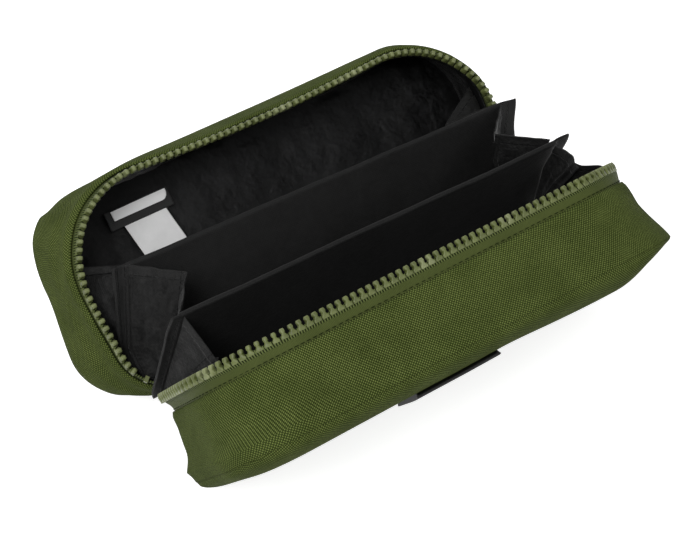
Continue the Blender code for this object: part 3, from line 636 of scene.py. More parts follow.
def shell_band(side):
    """The band: it rolls out of the zip seam, puffs, and dips into the panel seam."""
    band, length = BAND[side], round_length(DEPTH / 2)
    start, end = band["start"], DEPTH - band["short"]
    puffed, proudest = 0.5 * MM, 2.0 * MM

    def place(u, v):
        d, run, swelling = start + (end - start) * v, u * length, math.sin(math.pi * v)
        from_zip, to_panel = d - start, end - d
        at_end = ease(abs(round_place(d, u)[0]), 60 * MM, 95 * MM)
        dip = band["zip_dip"] * (1 - ease(from_zip, -0.5 * MM, 2.2 * MM))
        dip -= band["roll"] * math.exp(-((from_zip - 3 * MM) / (3 * MM)) ** 2)
        dip += band["panel_dip"] * (1 - ease(to_panel, -0.2 * MM, 1.6 * MM))
        pucker = 0.06 * MM * rough(run, 0, 4 * MM, 1 + side) * math.exp(-to_panel / (3.5 * MM))
        pucker += 0.10 * MM * rough(run, 0, 2.6 * MM, 4 + side) * math.exp(-from_zip / (3 * MM))
        wrinkle = 0.35 * MM * folds(run, d, 45 * MM, 7 * MM, side) * swelling
        wrinkle += 0.45 * MM * rough(run, d, 24 * MM, 2 * side) * ease(to_panel, 0, 6 * MM)
        wrinkle += 0.7 * MM * folds(run, d, 60 * MM, 6 * MM, 5 + side) * at_end * swelling
        out = puffed * swelling ** 0.7 - dip + pucker + wrinkle * band["wrinkled"]
        return wall_point(side, u, d, -min(out, proudest))

    bm = cloth_grid(400, 30, place, cut(length, end - start), turned(half_matrix(side), UP))
    piece = half_cloth(side, "band_cloth", "side_band", bm, SHELL, SHELL_THICK)


def panel_spot(u, v):
    """A share of the panel's grid as x and y on its rounded outline's plane, from the panel's middle."""
    x, y = (2 * u - 1) * PANEL_WIDTH / 2, (2 * v - 1) * PANEL_HEIGHT / 2
    a, b = (abs(x) - CORE_X) / PANEL_RADIUS, (abs(y) - CORE_Y) / PANEL_RADIUS
    if a > 0 and b > 0:
        a, b = a * math.sqrt(1 - b * b / 2), b * math.sqrt(1 - a * a / 2)
        x = math.copysign(CORE_X + a * PANEL_RADIUS, x)
        y = math.copysign(CORE_Y + b * PANEL_RADIUS, y)
    return x, y


def edge_distance(x, y):
    """How far inside the panel's rounded outline a point lies, and 0 outside it."""
    over_x, over_y = abs(x) - CORE_X, abs(y) - CORE_Y
    if over_x > 0 and over_y > 0:
        return max(PANEL_RADIUS - math.hypot(over_x, over_y), 0.0)
    return max(min(PANEL_WIDTH / 2 - abs(x), PANEL_HEIGHT / 2 - abs(y)), 0.0)


def around(x, y):
    """Roughly the distance round the outline, for puckers that run in from the seam."""
    width_to_height, reach = 2.0, 95 * MM
    return math.atan2(y * width_to_height, x) * reach


def crown_share(share):
    """The crown's height at a share of the way in over its round edge, as a share of its full height."""
    squareness = 2.4
    return math.sqrt(1 - (1 - share) ** squareness)


def crown_height(side, x, y, high):
    """How far the padded panel stands out. The front one is fuller from its middle to the right, and lower at
    its upper right corner."""
    full, fuller, lost = high + PANEL_SWELL[side], 2.0 * MM, 0.75
    if side == FRONT:
        full += fuller * ease(x, 10 * MM, 60 * MM)
        full *= 1 - lost * ease(x, 66 * MM, 104 * MM) * ease(y, 5 * MM, 40 * MM)
    return full * crown_share(min(edge_distance(x, y) / CROWN_INSET, 1))


def panel_skin(side, x, y, lift=0.0):
    """A point on the padded panel's cloth."""
    inside, seam_pull = edge_distance(x, y), 0.3 * MM
    shrink = 1 - seam_pull * (1 - ease(inside, 0, 1.4 * MM)) / (PANEL_WIDTH / 2)
    pucker = 0.08 * MM * rough(around(x, y), 0, 5 * MM, 9 + side)
    pucker *= math.exp(-inside / (6 * MM)) * ease(inside, 0, 1.2 * MM)
    wrinkle = PANEL_WRINKLE[side] * rough(x, y, 34 * MM, 11 + side) * ease(inside, 0, 10 * MM)
    d = DEPTH + crown_height(side, x, y, CROWN) + pucker + wrinkle
    return put(side, x * shrink, d + lift, y * shrink + PANEL_HEIGHT / 2)


def over_crown(side):
    """How much cloth the crown's round edge takes up past its width, at even steps from where the crown is
    full out to the seam."""
    steps = 120
    step = CROWN_INSET / steps
    heights = [(CROWN + PANEL_SWELL[side]) * crown_share(k / steps) for k in range(steps + 1)]
    taken = [0.0]
    for a, b in zip(reversed(heights[:-1]), reversed(heights[1:])):
        taken.append(taken[-1] + math.hypot(b - a, step) - step)
    return taken


def shell_panel(side):
    """The padded main panel: crowned cloth that is drawn into its seam. Its map runs over the swell, so that
    the weave isn't stretched at the edge."""
    taken = over_crown(side)
    steps = len(taken) - 1

    def place(u, v):
        return panel_skin(side, *panel_spot(u, v))

    def flat(u, v):
        x, y = panel_spot(u, v)
        at = (1 - min(edge_distance(x, y) / CROWN_INSET, 1)) * steps
        low = min(int(at), steps - 1)
        more = taken[low] + (taken[low + 1] - taken[low]) * (at - low)
        out = Vector((max(abs(x) - CORE_X, 0), max(abs(y) - CORE_Y, 0)))
        if out.length > 0:
            out.normalize()
        return x + math.copysign(more * out.x, x), y + math.copysign(more * out.y, y)

    bm = cloth_grid(220, 100, place, flat, turned(half_matrix(side), (0, side, 0)))
    piece = half_cloth(side, "panel_cloth", "main_panel", bm, SHELL, SHELL_THICK)


def base_strip(name, finish, nodes, height, thickness, reach_end, facing, ears=(0.0, 0.0)):
    """Cloth of the base: one strip across the fold from panel to panel, with ears up the corners there."""
    flat_width, seam_gap, ear_ends = 170 * MM, 0.1 * MM, (7 * MM, 13 * MM)
    fold_radius, fold_round, blend_reach = 3.2 * MM, 0.35, 9 * MM

    def place(u, v):
        run = (2 * v - 1) * reach_end
        side, depth = REAR if run > 0 else FRONT, abs(run)
        width, _, _, base = outline(depth)
        flat_end = width / 2 - base - seam_gap
        ear = ears[u > 0.5] * (1 - ease(depth, *ear_ends))
        x = (2 * u - 1) * (flat_end + ear)
        over = max(abs(x) - flat_end, 0.0)
        lift = 0.25 * MM * rough(x, run, 16 * MM, 21) * ease(depth, 0, 8 * MM)
        level = height + lift + base - math.sqrt(base ** 2 - over ** 2)
        point = half_matrix(side) @ Vector((x, side * max(depth, fold_radius), level))
        if depth < fold_radius:
            # the fold is round, not sharp
            share = depth / fold_radius
            other = half_matrix(-side) @ Vector((x, -side * fold_radius, level))
            sharp = half_matrix(side) @ Vector((x, 0, level))
            point = point * (0.5 + 0.5 * share) + other * (0.5 - 0.5 * share)
            point = point.lerp(sharp, fold_round * (1 - share ** 2))
        return point

    flat = cut(flat_width, 2 * reach_end, -flat_width / 2, -reach_end)
    piece = finished(name, cloth_grid(150, 80, place, flat, facing), finish, None, nodes)
    applied(thicken(piece, thickness))
    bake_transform(piece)


def wall_foam(side):
    """The sheet foam in the wall, between the shell and the lining."""
    start, end, slack = TAPE_END + GAP, PANEL_BACK, 0.35 * MM

    def place(u, v):
        return wall_point(side, u, start + (end - start) * v, FOAM_INSET + slack)

    flat = cut(round_length(DEPTH / 2), end - start)
    bm = cloth_grid(200, 10, place, flat, turned(half_matrix(side), UP))
    half_cloth(side, "wall_foam", "side_foam", bm, FOAM_GREY, FOAM - 2 * slack)


def panel_foam(side):
    """The sheet foam behind the main panel, crowned with it."""
    scale_x, scale_w = 1 - 2 * FOAM_INSET / PANEL_WIDTH, 1 - 2 * FOAM_INSET / PANEL_HEIGHT
    thick, flatter = 0.8 * MM, 0.6 * MM

    def place(u, v):
        x, y = panel_spot(u, v)
        d = DEPTH - FOAM_INSET - thick + crown_height(side, x, y, CROWN - flatter)
        return put(side, x * scale_x, d, y * scale_w + PANEL_HEIGHT / 2)

    bm = cloth_grid(90, 44, place, panel_spot, turned(half_matrix(side), (0, side, 0)))
    half_cloth(side, "panel_padding", "panel_foam", bm, FOAM_GREY, thick)


def patch():
    """The moulded patch on the front panel: it follows the panel's swell, with a raised border."""
    left, right, low, high = -33.5 * MM, 6 * MM, 62 * MM, 84 * MM
    deep, edge_drop, field_drop, sunk = 2.2 * MM, 0.3 * MM, 0.35 * MM, 0.1 * MM

    def place(u, v):
        x, w = left + (right - left) * u, low + (high - low) * v
        to_edge = min(x - left, right - x, w - low, high - w)
        lift = deep - edge_drop * (1 - ease(to_edge, 0, 0.5 * MM))
        lift -= field_drop * ease(to_edge, 1.8 * MM, 2.4 * MM)
        return panel_skin(FRONT, x, w - PANEL_HEIGHT / 2, lift)

    bm = cloth_grid(90, 44, place, cut(right - left, high - low), turned(half_matrix(FRONT), (0, -1, 0)))
    half_cloth(FRONT, "patch_rubber", "patch", bm, RUBBER, deep + sunk)


# The zips

def tape(side):
    """The woven tape, from the blocks of the teeth in under the band. The front one ends up the base
    corners."""
    ends = 0.0 if side == REAR else ZIP_END * RIM_BASE / round_length(0)
    under_teeth = 0.6 * MM
    length, start = round_length(TAPE_START), TAPE_START - under_teeth

    def place(u, v):
        d, run = start + (TAPE_END - start) * v, u * length
        slack = 0.25 * MM * rough(run, d, 15 * MM, 31 + side) * ease(d, 3 * MM, 7 * MM)
        return wall_point(side, ends + (1 - 2 * ends) * u, d, TAPE_INSET - TAPE / 2 - slack)

    size = length * (1 - 2 * ends), TAPE_END - start
    bm = cloth_grid(300, 12, place, cut(*size, low=start), turned(half_matrix(side), UP))
    piece = half_cloth(side, "tape_cloth", "zip_tape", bm, TAPE_CLOTH, TAPE)


def chain_line():
    """The teeth's line in x and w, round the rim's four corners, as in the solids."""
    width, height, top, base = outline(0)
    half, steps, points = width / 2, 42, []
    for cx, cw, radius, start, end in (
            (-half + base, base, base, -QUARTER - ZIP_END, -2 * QUARTER),
            (-half + top, height - top, top, 2 * QUARTER, QUARTER),
            (half - top, height - top, top, QUARTER, 0),
            (half - base, base, base, 0, -QUARTER + ZIP_END)):
        reach = radius - TAPE_INSET
        for step in range(steps + 1):
            a = start + (end - start) * step / steps
            points.append(Vector((cx + reach * math.cos(a), 0, cw + reach * math.sin(a))))
    return points


def along(points, distance):
    """The point and the direction at a distance along a line."""
    for first, second in zip(points, points[1:]):
        step = (second - first).length
        if step and distance <= step:
            direction = (second - first) / step
            return first + direction * distance, direction
        distance -= step
    return points[-1].copy(), (points[-1] - points[-2]).normalized()


def tooth_mesh():
    """One moulded tooth: a block on the tape, a neck and a rounded head. x runs along the chain, y is its
    depth and z its thickness."""
    head_start, head_share, rounding, upright = 0.5 * MM, 0.86, 0.42 * MM, 0.2 * MM
    bm = bmesh.new()
    edge = [(x * MM, y * MM) for x, y in TOOTH]
    edge += [(-x, y) for x, y in reversed(edge)]
    face = bm.faces.new([bm.verts.new((x, y, -TOOTH_THICK / 2)) for x, y in edge])
    raised = bmesh.ops.extrude_face_region(bm, geom=[face])["geom"]
    top = [part for part in raised if isinstance(part, bmesh.types.BMVert)]
    bmesh.ops.translate(bm, vec=(0, 0, TOOTH_THICK), verts=top)
    bmesh.ops.recalc_face_normals(bm, faces=bm.faces)
    for vert in bm.verts:
        if vert.co.y < head_start:
            vert.co.z *= head_share
    rims = [e for e in bm.edges if abs(e.verts[0].co.z - e.verts[1].co.z) < upright]
    bmesh.ops.bevel(bm, geom=rims, offset=rounding, segments=2, profile=0.5, affect="EDGES", material=-1)
    return bm


def chain(side):
    """The moulded teeth of one half, spaced as in the solids."""
    line = chain_line()
    length = sum((b - a).length for a, b in zip(line, line[1:]))
    count = int((length - 2 * (STOP_LENGTH + GAP) - TOOTH_PITCH / 2) / TOOTH_PITCH)
    first = (length - count * TOOTH_PITCH) / 2 + TOOTH_PITCH / 4 * side

    def tooth_place(index):
        centre, direction = along(line, first + (index + 0.5) * TOOTH_PITCH)
        x, w = centre.x, centre.z
        moved = Matrix.Translation((x + give(side, x, 0, w), 0, w + sag(side, x, 0, w)))
        out = Vector((-direction.z, 0, direction.x))
        turn = Matrix((direction, Vector((0, side, 0)), out)).transposed().to_4x4()
        return half_matrix(side) @ moved @ turn

    word = WORDS[side]
    bm = repeated(tooth_mesh(), [tooth_place(index) for index in range(count)])
    finished(f"{word}_chain", bm, MOULDED, f"{word}_half", [f"{word}_zip_teeth"])


def seam_stitches(side):
    """The row of stitches that holds the tape to the band, in the groove between them."""
    ends, pitch, half_step = 0.02, 2.9 * MM, 0.001
    half_length, radius, flattened = 1.05 * MM, 0.24 * MM, 0.8
    count = int(round_length(BAND_START) * (1 - 2 * ends) / pitch)
    depth, inset = BAND_START - 0.55 * MM, TAPE_INSET - TAPE / 2 - 0.05 * MM

    def stitch_place(index):
        share = ends + (1 - 2 * ends) * (index + 0.5) / count
        before, after = (wall_point(side, share + step, depth, inset) for step in (-half_step, half_step))
        _, _, out_x, out_w = round_place(depth, share + half_step)
        direction = (after - before).normalized()
        across = direction.cross(turned(half_matrix(side), (out_x, 0, out_w))).normalized()
        turn = Matrix((across, across.cross(direction) * -1, direction)).transposed().to_4x4()
        size = Matrix.Diagonal((radius, radius * flattened, half_length, 1))
        return Matrix.Translation((before + after) / 2) @ turn @ size

    one = bmesh.new()
    bmesh.ops.create_uvsphere(one, u_segments=6, v_segments=4, radius=1.0)
    bm = repeated(one, [stitch_place(index) for index in range(count)])
    finished(f"{WORDS[side]}_zip_stitching", bm, GREEN_THREAD, f"{WORDS[side]}_half")


# The lining

def wall_lining(side):
    """Black satin inside the walls, from the tape to the panel, slack enough to pucker at its seam."""
    length = round_length(DEPTH / 2)
    start, end, seam = BAND_START + 0.6 * MM, PANEL_BACK - 0.2 * MM, 17 * MM
    shallow, slackness, deepest = CLOTH + GAP + TAPE + GAP, 0.4 * MM, 0.1 * MM

    def place(u, v):
        d, run = start + (end - start) * v, u * length
        inset = shallow + (LINING_INSET - shallow) * ease(d, BAND_START, TAPE_END) + LINING
        ridge = 0.9 * MM * math.exp(-((d - seam) / (1.6 * MM)) ** 2)
        ridge *= 0.8 + 0.5 * rough(run, 0, 9 * MM, 40 + side)
        pucker = 0.5 * MM * rough(run, 0, 4.2 * MM, 42 + side) * math.exp(-abs(d - seam) / (5 * MM))
        slack = 1.1 * MM * folds(run, d, 24 * MM, 7 * MM, 44 + side)
        slack += 0.8 * MM * rough(run, d, 10 * MM, 45 + side)
        free = ease(v, 0, 0.25) * ease(1 - v, 0, 0.2)
        inset += max(ridge + (pucker + slack + slackness) * free, -deepest)
        return wall_point(side, u, d, inset)

    bm = cloth_grid(360, 26, place, cut(length, end - start), turned(half_matrix(side), DOWN))
    piece = half_cloth(side, "wall_satin", "side_lining", bm, SATIN, SATIN_THICK)


def under_labels(side, x, y):
    """1 where the labels hold the rear lining flat, and 0 away from them."""
    if side == FRONT:
        return 0
    return ease(x, -84 * MM, -77 * MM) * (1 - ease(x, -45 * MM, -38 * MM)) * ease(y, -1 * MM, 5 * MM)


def panel_lining(side):
    """Black satin behind the main panel, slack between its seams."""
    slackness, kept_flat = 1.0 * MM, 0.85

    def place(u, v):
        x, y = panel_spot(u, v)
        inside = edge_distance(x, y)
        pucker = 0.5 * MM * rough(around(x, y), 0, 5 * MM, 51 + side) * math.exp(-inside / (9 * MM))
        slack = 1.3 * MM * rough(x, y, 26 * MM, 52 + side)
        slack += 0.9 * MM * folds(y, x, 36 * MM, 9 * MM, 53 + side)
        slack += 0.7 * MM * folds(x, y, 45 * MM, 6 * MM, 54 + side) * (1 - ease(inside, 8 * MM, 26 * MM))
        loose = (pucker * ease(inside, 0, 2 * MM) + slack + slackness) * ease(inside, 0, 9 * MM)
        d = LINING_FACE - max(loose, 0) * (1 - kept_flat * under_labels(side, x, y))
        return put(side, x * LINING_SCALE_X, d, y * LINING_SCALE_W + PANEL_HEIGHT / 2)

    bm = cloth_grid(200, 90, place, panel_spot, turned(half_matrix(side), (0, -side, 0)))
    piece = half_cloth(side, "panel_satin", "panel_lining", bm, SATIN, SATIN_THICK)
    PANEL_WIDTH * LINING_SCALE_X
    PANEL_HEIGHT * LINING_SCALE_W


# The dividers and gussets

def divider_give(side, x, z):
    """How far a divider's slack cloth and card lie out of true at this height: along the case, and out of the
    divider's plane."""
    share, rise = (x + DIVIDER_SEAM) / (2 * DIVIDER_SEAM + FIN_LENGTH), z / DIVIDER_HEIGHT
    if x < 0:
        seam_out, tip_in, foot_out, holds = LEFT_SLACK[side]
        low = 1 - max(rise, holds)
        root, tip = ease(-x, 52 * MM, DIVIDER_SEAM), ease(-x, DIVIDER_SEAM, DIVIDER_SEAM + FIN_LENGTH)
        away, foot = -(seam_out * root - tip_in * tip) * low, foot_out * low * root
    else:
        seam_out, tip_in = 4.5 * MM, 2.2 * MM
        root, tip = ease(x, 40 * MM, DIVIDER_SEAM), ease(x, DIVIDER_SEAM, 97 * MM)
        away, foot = (seam_out * root - tip_in * tip) * ease(rise, 0.7, 1), 0.0
    at_left, less_at_right = HEAD_LEAN[side]
    low_share, stiff_foot = 0.25, 12 * MM
    risen = rise if side == FRONT else (low_share + (1 - low_share) * rise) * ease(z, 0, stiff_foot)
    return away, (at_left - less_at_right * share) * risen + foot


def divider_place(side, x, y, z):
    """A point of a divider that leans with its slack: x along it, y through it, z up from its foot."""
    lean_x, lean_y = divider_give(side, x, z)
    return divider_matrix(side) @ Vector((x + lean_x, y + lean_y, z))


def divider_sleeve(side):
    """A cloth sleeve folded over the card's top, with a thin fin sewn at each end."""
    word, full, thin = WORDS[side], DIVIDER_THICK / 2, 0.5 * MM
    straight = DIVIDER_HEIGHT - full
    total = 2 * straight + QUARTER * 2 * full
    left_fin, left_foot, droop = FINS[side]
    right_over, right_short, stiff_foot = 3.5 * MM, 3.0 * MM, 20 * MM
    left, right = -(DIVIDER_SEAM + left_fin), DIVIDER_SEAM + FIN_LENGTH + right_over

    def place(u, v):
        x, run = left + (right - left) * u, v * total
        outer = ease(abs(x), DIVIDER_SEAM + 0.6 * MM, DIVIDER_SEAM + 2.6 * MM)
        half = full + (thin - full) * outer
        rise = DIVIDER_HEIGHT - half
        low = left_foot if x < 0 else FIN_RISE + 0.2 * MM
        low *= ease(abs(x), DIVIDER_SEAM + 1.4 * MM, DIVIDER_SEAM + 1.6 * MM)
        if run < straight:
            y, z = half, low + (rise - low) * run / straight
        elif run > total - straight:
            y, z = -half, low + (rise - low) * (total - run) / straight
        else:
            a = (run - straight) / full
            y, z = half * math.cos(a), rise + half * math.sin(a)
        wave = 0.5 * MM * rough(x, 0, 38 * MM, 61 + side) * ease(z, stiff_foot, DIVIDER_HEIGHT)
        bulge = 0.35 * MM * rough(x, z + y * 9, 20 * MM, 62 + side) * (1 - outer) * ease(z, 0, 10 * MM)
        curl = outer * ease(z, stiff_foot, DIVIDER_HEIGHT)
        z += 0.35 * MM * rough(x, 0, 25 * MM, 63 + side) * ease(z, 30 * MM, DIVIDER_HEIGHT)
        z -= droop * curl * ease(x, DIVIDER_SEAM, right)
        if x > 0:
            x -= right_short * outer * (1 - ease(z, stiff_foot, DIVIDER_HEIGHT))
        bend = 1.4 * MM * curl * rough(x, z, 12 * MM, 64 + side)
        return divider_place(side, x, y + wave + bend + math.copysign(bulge, y), z)

    bm = cloth_grid(240, 110, place, cut(right - left, total, left), turned(divider_matrix(side), UP))
    piece = finished(f"{word}_divider_sleeve", bm, SLEEVE, f"{word}_divider",
                     [f"{word}_divider_cover"])
    thicken(piece, SLEEVE_THICK)
    right - left


def divider_board(side):
    """The card in the sleeve, bent with it."""
    word, foot, thick = WORDS[side], 1.2 * MM, 0.6 * MM
    half, top = DIVIDER_SEAM - 2 * MM, DIVIDER_HEIGHT - 3 * MM

    def place(u, v):
        return divider_place(side, (2 * u - 1) * half, 0, foot + (top - foot) * v)

    bm = cloth_grid(40, 12, place, cut(2 * half, top), turned(divider_matrix(side), (0, 1, 0)))
    board = finished(f"{word}_divider_board", bm, CARD, f"{word}_divider", [f"{word}_divider_card"])
    thicken(board, thick).modifiers["thickness"].offset = 0


def inner_half_width(depth, w):
    """Half of the room inside the walls at this depth and height."""
    width, height, top, base = outline(depth)
    if w < base:
        return width / 2 - base + math.sqrt((base - WALL) ** 2 - (base - w) ** 2)
    over = w - (height - top)
    if over > 0:
        return width / 2 - top + math.sqrt((top - WALL) ** 2 - over ** 2)
    return width / 2 - WALL


def wall_seam(side, end, steps=8):
    """Where a gusset is sewn to the wall: it runs up beside the zip, on the lining. Foot first."""
    depth, drift, foot, off_wall = 9.5 * MM, 1.7 * MM, 6 * MM, 1.6 * MM
    reach = (61 if (side, end) == (FRONT, 1) else 56) * MM
    points = []
    for step in range(steps + 1):
        share = step / steps
        d, w = depth - drift * share, foot + reach * share
        points.append(put(side, end * (inner_half_width(d, w) - off_wall), d, w))
    return points


def divider_seam(side, face, end, steps=8):
    """Where a gusset is sewn to a divider: up its end, on one face. Foot first."""
    offset, head = face * (DIVIDER_THICK / 2 + GAP + 0.35 * MM), DIVIDER_HEIGHT - 0.4 * MM
    return [divider_place(side, end * DIVIDER_SEAM, offset, LEAF_FOOT + (head - LEAF_FOOT) * step / steps)
            for step in range(steps + 1)]


def spot(points, share):
    """The point at a share of the way along a line of even points."""
    at = min(max(share, 0), 1) * (len(points) - 1)
    index = min(int(at), len(points) - 2)
    return points[index].lerp(points[index + 1], at - index)


def leaf(name, parent, seam, valley, facing, seed, tuck, belly=0.0):
    """One leaf of a pleat, from its seam to the crease. It hangs slack and creased between them."""
    belly_share, foot_share, stiff_hem = 0.8, 0.35, 0.6
    narrow, hem_deep, hem_thick, least_width = 15 * MM, 4 * MM, 0.25 * MM, 10.2 * MM
    blend_height, blend_start, blend_end = 0.6, 0.5 * MM, 8 * MM
    span = sum((a - b).length for a, b in zip(seam, valley)) / len(seam) + belly_share * abs(belly)
    tall = sum((a - b).length for a, b in zip(seam, seam[1:]))
    slackness = (1.9 if span < narrow else 3.4) * MM
    upward = (seam[-1] - seam[0]).normalized()

    def place(u, v):
        low, high = spot(seam, v), spot(valley, v)
        across, from_foot = (high - low).normalized(), v * tall
        out = across.cross(upward).normalized()
        free = math.sin(math.pi * min(u, 1)) * (foot_share + (1 - foot_share) * v)
        crease = slackness * folds(from_foot, u * span, 26 * MM, 5 * MM, seed)
        crease += 0.5 * slackness * rough(u * span, from_foot, 6 * MM, seed + 0.4)
        crease *= 1 - stiff_hem * ease(from_foot, tall - 2 * hem_deep, tall - hem_deep)
        hem = hem_thick * ease(from_foot, tall - hem_deep - 0.6 * MM, tall - hem_deep)
        slack = belly * ease(u, 0, 0.4) * (1 - ease(u, 0.6, 1)) * ease(v, 0.1, 0.8)
        lifted = out * (crease * free + hem) + Vector((slack, 0, 0))
        return low.lerp(high, u) + across * tuck * ease(u, 0.9, 1) + lifted

    bm = cloth_grid(40, 64, place, cut(span, tall, -span, -tall), facing)
    piece = applied(thicken(finished(f"{name}_cloth", bm, LEAF, None, [name]), LEAF_THICK))
    middle = spot(seam, blend_height)
    inward = (spot(valley, blend_height) - middle).normalized()
    middle + inward * blend_start
    middle + inward * blend_end
    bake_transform(piece)
    wide = span + abs(tuck)
    max(wide, least_width)
    wide * tall


def valley_line(first, second, word, end):
    """A pleat's crease between its two seams."""
    foot, deep, droop, between = PLEATS[word, end]
    valley = []
    for step, (a, b) in enumerate(zip(first, second)):
        share = step / (len(first) - 1)
        crease = a.lerp(b, 0.5 + (between - 0.5) * share)
        inward = (foot + (deep - foot) * share) * MM
        x = end * (min(abs(a.x), abs(b.x)) - inward)
        valley.append(Vector((x, crease.y, crease.z - droop * share ** 2 * MM)))
    return valley


def gussets():
    """Three pleats at each end: from the rear wall to a divider, on to the other, and to the front wall."""
    for end, end_word in ((-1, "left"), (1, "right")):
        rear_wall, rear_back, rear_face, front_back, front_face, front_wall = (
            wall_seam(REAR, end), divider_seam(REAR, 1, end), divider_seam(REAR, -1, end),
            divider_seam(FRONT, 1, end), divider_seam(FRONT, -1, end), wall_seam(FRONT, end))
        spans = (
            ("rear", rear_wall, "rear_half", rear_back, "rear_divider"),
            ("middle", rear_face, "rear_divider", front_back, "front_divider"),
            ("front", front_face, "front_divider", front_wall, "front_half"))
        for index, (word, first, first_parent, second, second_parent) in enumerate(spans):
            valley = valley_line(first, second, word, end)
            tucks = (2.0 * MM, 2.0 * MM) if word == "front" else (0.5 * MM, -0.4 * MM)
            leaves = (("rear", first, first_parent, tucks[0]), ("front", second, second_parent, tucks[1]))
            for leaf_word, seam, parent, tuck in leaves:
                body = f"{word}_gusset_{end_word}_{leaf_word}"
                belly = BELLY[leaf_word] if (word, end) == ("front", 1) else 0.0
                seed = 70 + index * 3 + end + (leaf_word == "rear")
                leaf(f"{body}_leaf", parent, seam, valley, (-end, 0, 0.2), seed, tuck, belly)


# The labels

def flat_label(name, node, finish, edges, face, thickness, seed, rounded=0.0, wave=0.2 * MM, slant=0.0):
    """A woven label on the rear lining. edges are its left, right, low and high ones."""
    left, right, low, high = edges
    least, least_share, rounded_share, flatter_top = 10.1 * MM, 0.31, 0.85, 0.6

    def place(u, v):
        corner = rounded * (1 - math.sqrt(max(0, 1 - (1 - min(v / rounded_share, 1)) ** 2)))
        w = low + (high - low) * v
        x = left + (right - corner - left) * u + slant * (w - high)
        d = face - wave * (0.5 + 0.5 * rough(x, w, 9 * MM, seed)) * (1 - v * flatter_top)
        return put(REAR, x, d, w)

    bm = cloth_grid(40, 24, place, cut(right - left, high - low), turned(half_matrix(REAR), (0, -1, 0)))
    piece = thicken(finished(name, bm, finish, "rear_half", [node]), thickness)
    wide, tall = max(right - left, least), max(high - low, least)


def labels():
    """The care label hangs from under the folded one, and the white strip lies over that."""
    face = LINING_FACE - GAP - 1.2 * MM
    care = -68.9 * MM, -48.4 * MM, 55.0 * MM, 77 * MM
    folded = -74.5 * MM, -43.5 * MM, 72.5 * MM, 81.5 * MM
    strip = -71.5 * MM, -44.6 * MM, 76.2 * MM, 80.9 * MM
    flat_label("care_label_satin", "care_label", CARE_SATIN,
               care, face, 0.25 * MM, 81, wave=1.2 * MM, slant=-0.15)
    flat_label("folded_label_tape", "folded_label", BLACK_LABEL,
               folded, face - 0.4 * MM, 0.5 * MM, 82)
    flat_label("white_label_strip", "label_insert", WHITE_LABEL,
               strip, face - 1.0 * MM, 0.25 * MM, 83, rounded=3.2 * MM)


def solids_shown():
    """Gives the solids that stay in sight their finishes."""
    finishes = (("base_foam", FOAM_GREY), ("zip_stop_left", MOULDED), ("zip_stop_right", MOULDED),
                ("zip_slider", METAL), ("zip_pull_tab", METAL))
    for name, node in frame["nodes"].items():
        for ending, finish in finishes:
            if name.endswith(ending):
                for material_slot in node.material_slots:
                    material_slot.material = finish


# Floor, light and camera

def floor():
    """Paper that is plain white to the camera and in reflections, and lights the case as pale grey does."""
    bm = bmesh.new()
    bmesh.ops.create_grid(bm, x_segments=4, y_segments=4, size=4.0)
    mesh = bpy.data.meshes.new("floor")
    bm.to_mesh(mesh)
    bm.free()
    ground = bpy.data.objects.new("floor", mesh)
    bpy.context.scene.collection.objects.link(ground)
    paper = Finish("white paper", (0.7, 0.7, 0.7), roughness=0.95)
    seen = paper.node("ShaderNodeLightPath", {}, {}, "Is Camera Ray")
    mirrored = paper.node("ShaderNodeLightPath", {}, {}, "Is Glossy Ray")
    paper.feed("Base Color", paper.mix(paper.spots(0.4, 1.0), (0.69, 0.69, 0.69), (0.71, 0.71, 0.71)))
    paper.feed("Emission Color", paper.mix(seen.math("MAXIMUM", mirrored), (0, 0, 0), (1, 1, 1)))
    paper.shader.inputs["Emission Strength"].default_value = 0.80
    mesh.materials.append(paper.material)


def lamp(name, place, size, power):
    """A square lamp that points at the case's middle."""
    target = Vector((0, 0, 50 * MM))
    light = bpy.data.lights.new(name, "AREA")
    light.size, light.energy = size, power
    lit = bpy.data.objects.new(name, light)
    bpy.context.scene.collection.objects.link(lit)
    lit.location = place
    lit.rotation_euler = (target - Vector(place)).to_track_quat("-Z", "Y").to_euler()


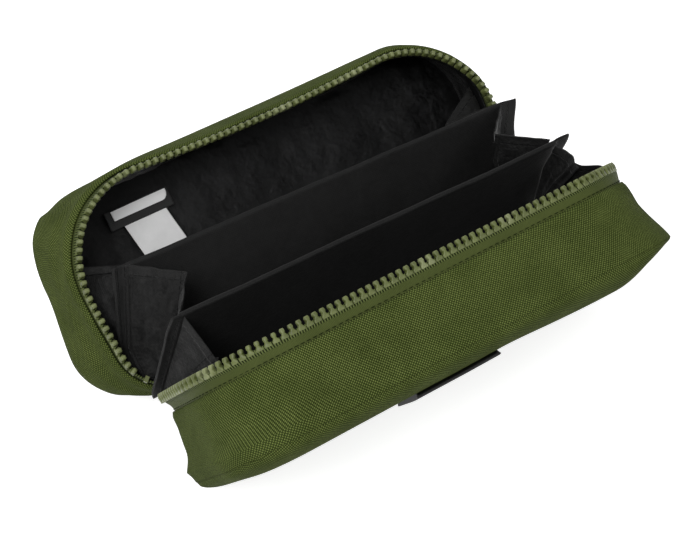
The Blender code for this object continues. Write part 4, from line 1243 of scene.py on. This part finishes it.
def world():
    """Soft light from all round, and plain white where the camera looks past the floor."""
    sky = bpy.data.worlds.new("studio")
    bpy.context.scene.world = sky
    sky.use_nodes = True
    tree = sky.node_tree
    background = tree.nodes["Background"]
    white = tree.nodes.new("ShaderNodeBackground")
    for shade in (background, white):
        shade.inputs["Color"].default_value = (1, 1, 1, 1)
    background.inputs["Strength"].default_value = 0.36
    path, choose = tree.nodes.new("ShaderNodeLightPath"), tree.nodes.new("ShaderNodeMixShader")
    tree.links.new(path.outputs["Is Camera Ray"], choose.inputs[0])
    tree.links.new(background.outputs[0], choose.inputs[1])
    tree.links.new(white.outputs[0], choose.inputs[2])
    tree.links.new(choose.outputs[0], tree.nodes["World Output"].inputs[0])


def camera():
    """The photo's own view."""
    data = bpy.data.cameras.new("camera")
    data.lens, data.sensor_width = FOCAL_LENGTH / PHOTO_WIDTH * SENSOR, SENSOR
    data.clip_start, data.clip_end = 0.01, 20
    eye = bpy.data.objects.new("camera", data)
    bpy.context.scene.collection.objects.link(eye)
    turn = Matrix((CAMERA_RIGHT, CAMERA_UP, CAMERA_BACK)).transposed().to_quaternion()
    eye.matrix_world = Matrix.Translation(CAMERA_PLACE) @ turn.to_matrix().to_4x4()
    bpy.context.scene.camera = eye


HALF_PIECES = (
    shell_band, shell_panel, tape, chain, seam_stitches, wall_foam, panel_foam, wall_lining, panel_lining,
    divider_sleeve, divider_board)
for side in (REAR, FRONT):
    for make in HALF_PIECES:
        make(side)
patch()
base_strip("base_cloth", SHELL, ["rear_base_panel", "front_base_panel"], 0.4 * MM, SHELL_THICK,
           DEPTH - 0.8 * MM, DOWN)
base_strip("base_satin", SATIN, ["rear_base_lining", "front_base_lining"], WALL, SATIN_THICK,
           LINING_FACE, UP, ears=(12.5 * MM, 5 * MM))
gussets()
labels()
solids_shown()
floor()
world()
camera()
lamp("key", (-0.60, -0.46, 0.88), 0.5, 7.0)
lamp("back", (-0.25, 0.80, 0.75), 0.6, 2.5)
lamp("fill", (0.6, -0.7, 0.8), 0.9, 2.5)
bpy.context.scene.view_settings.view_transform = "Standard"
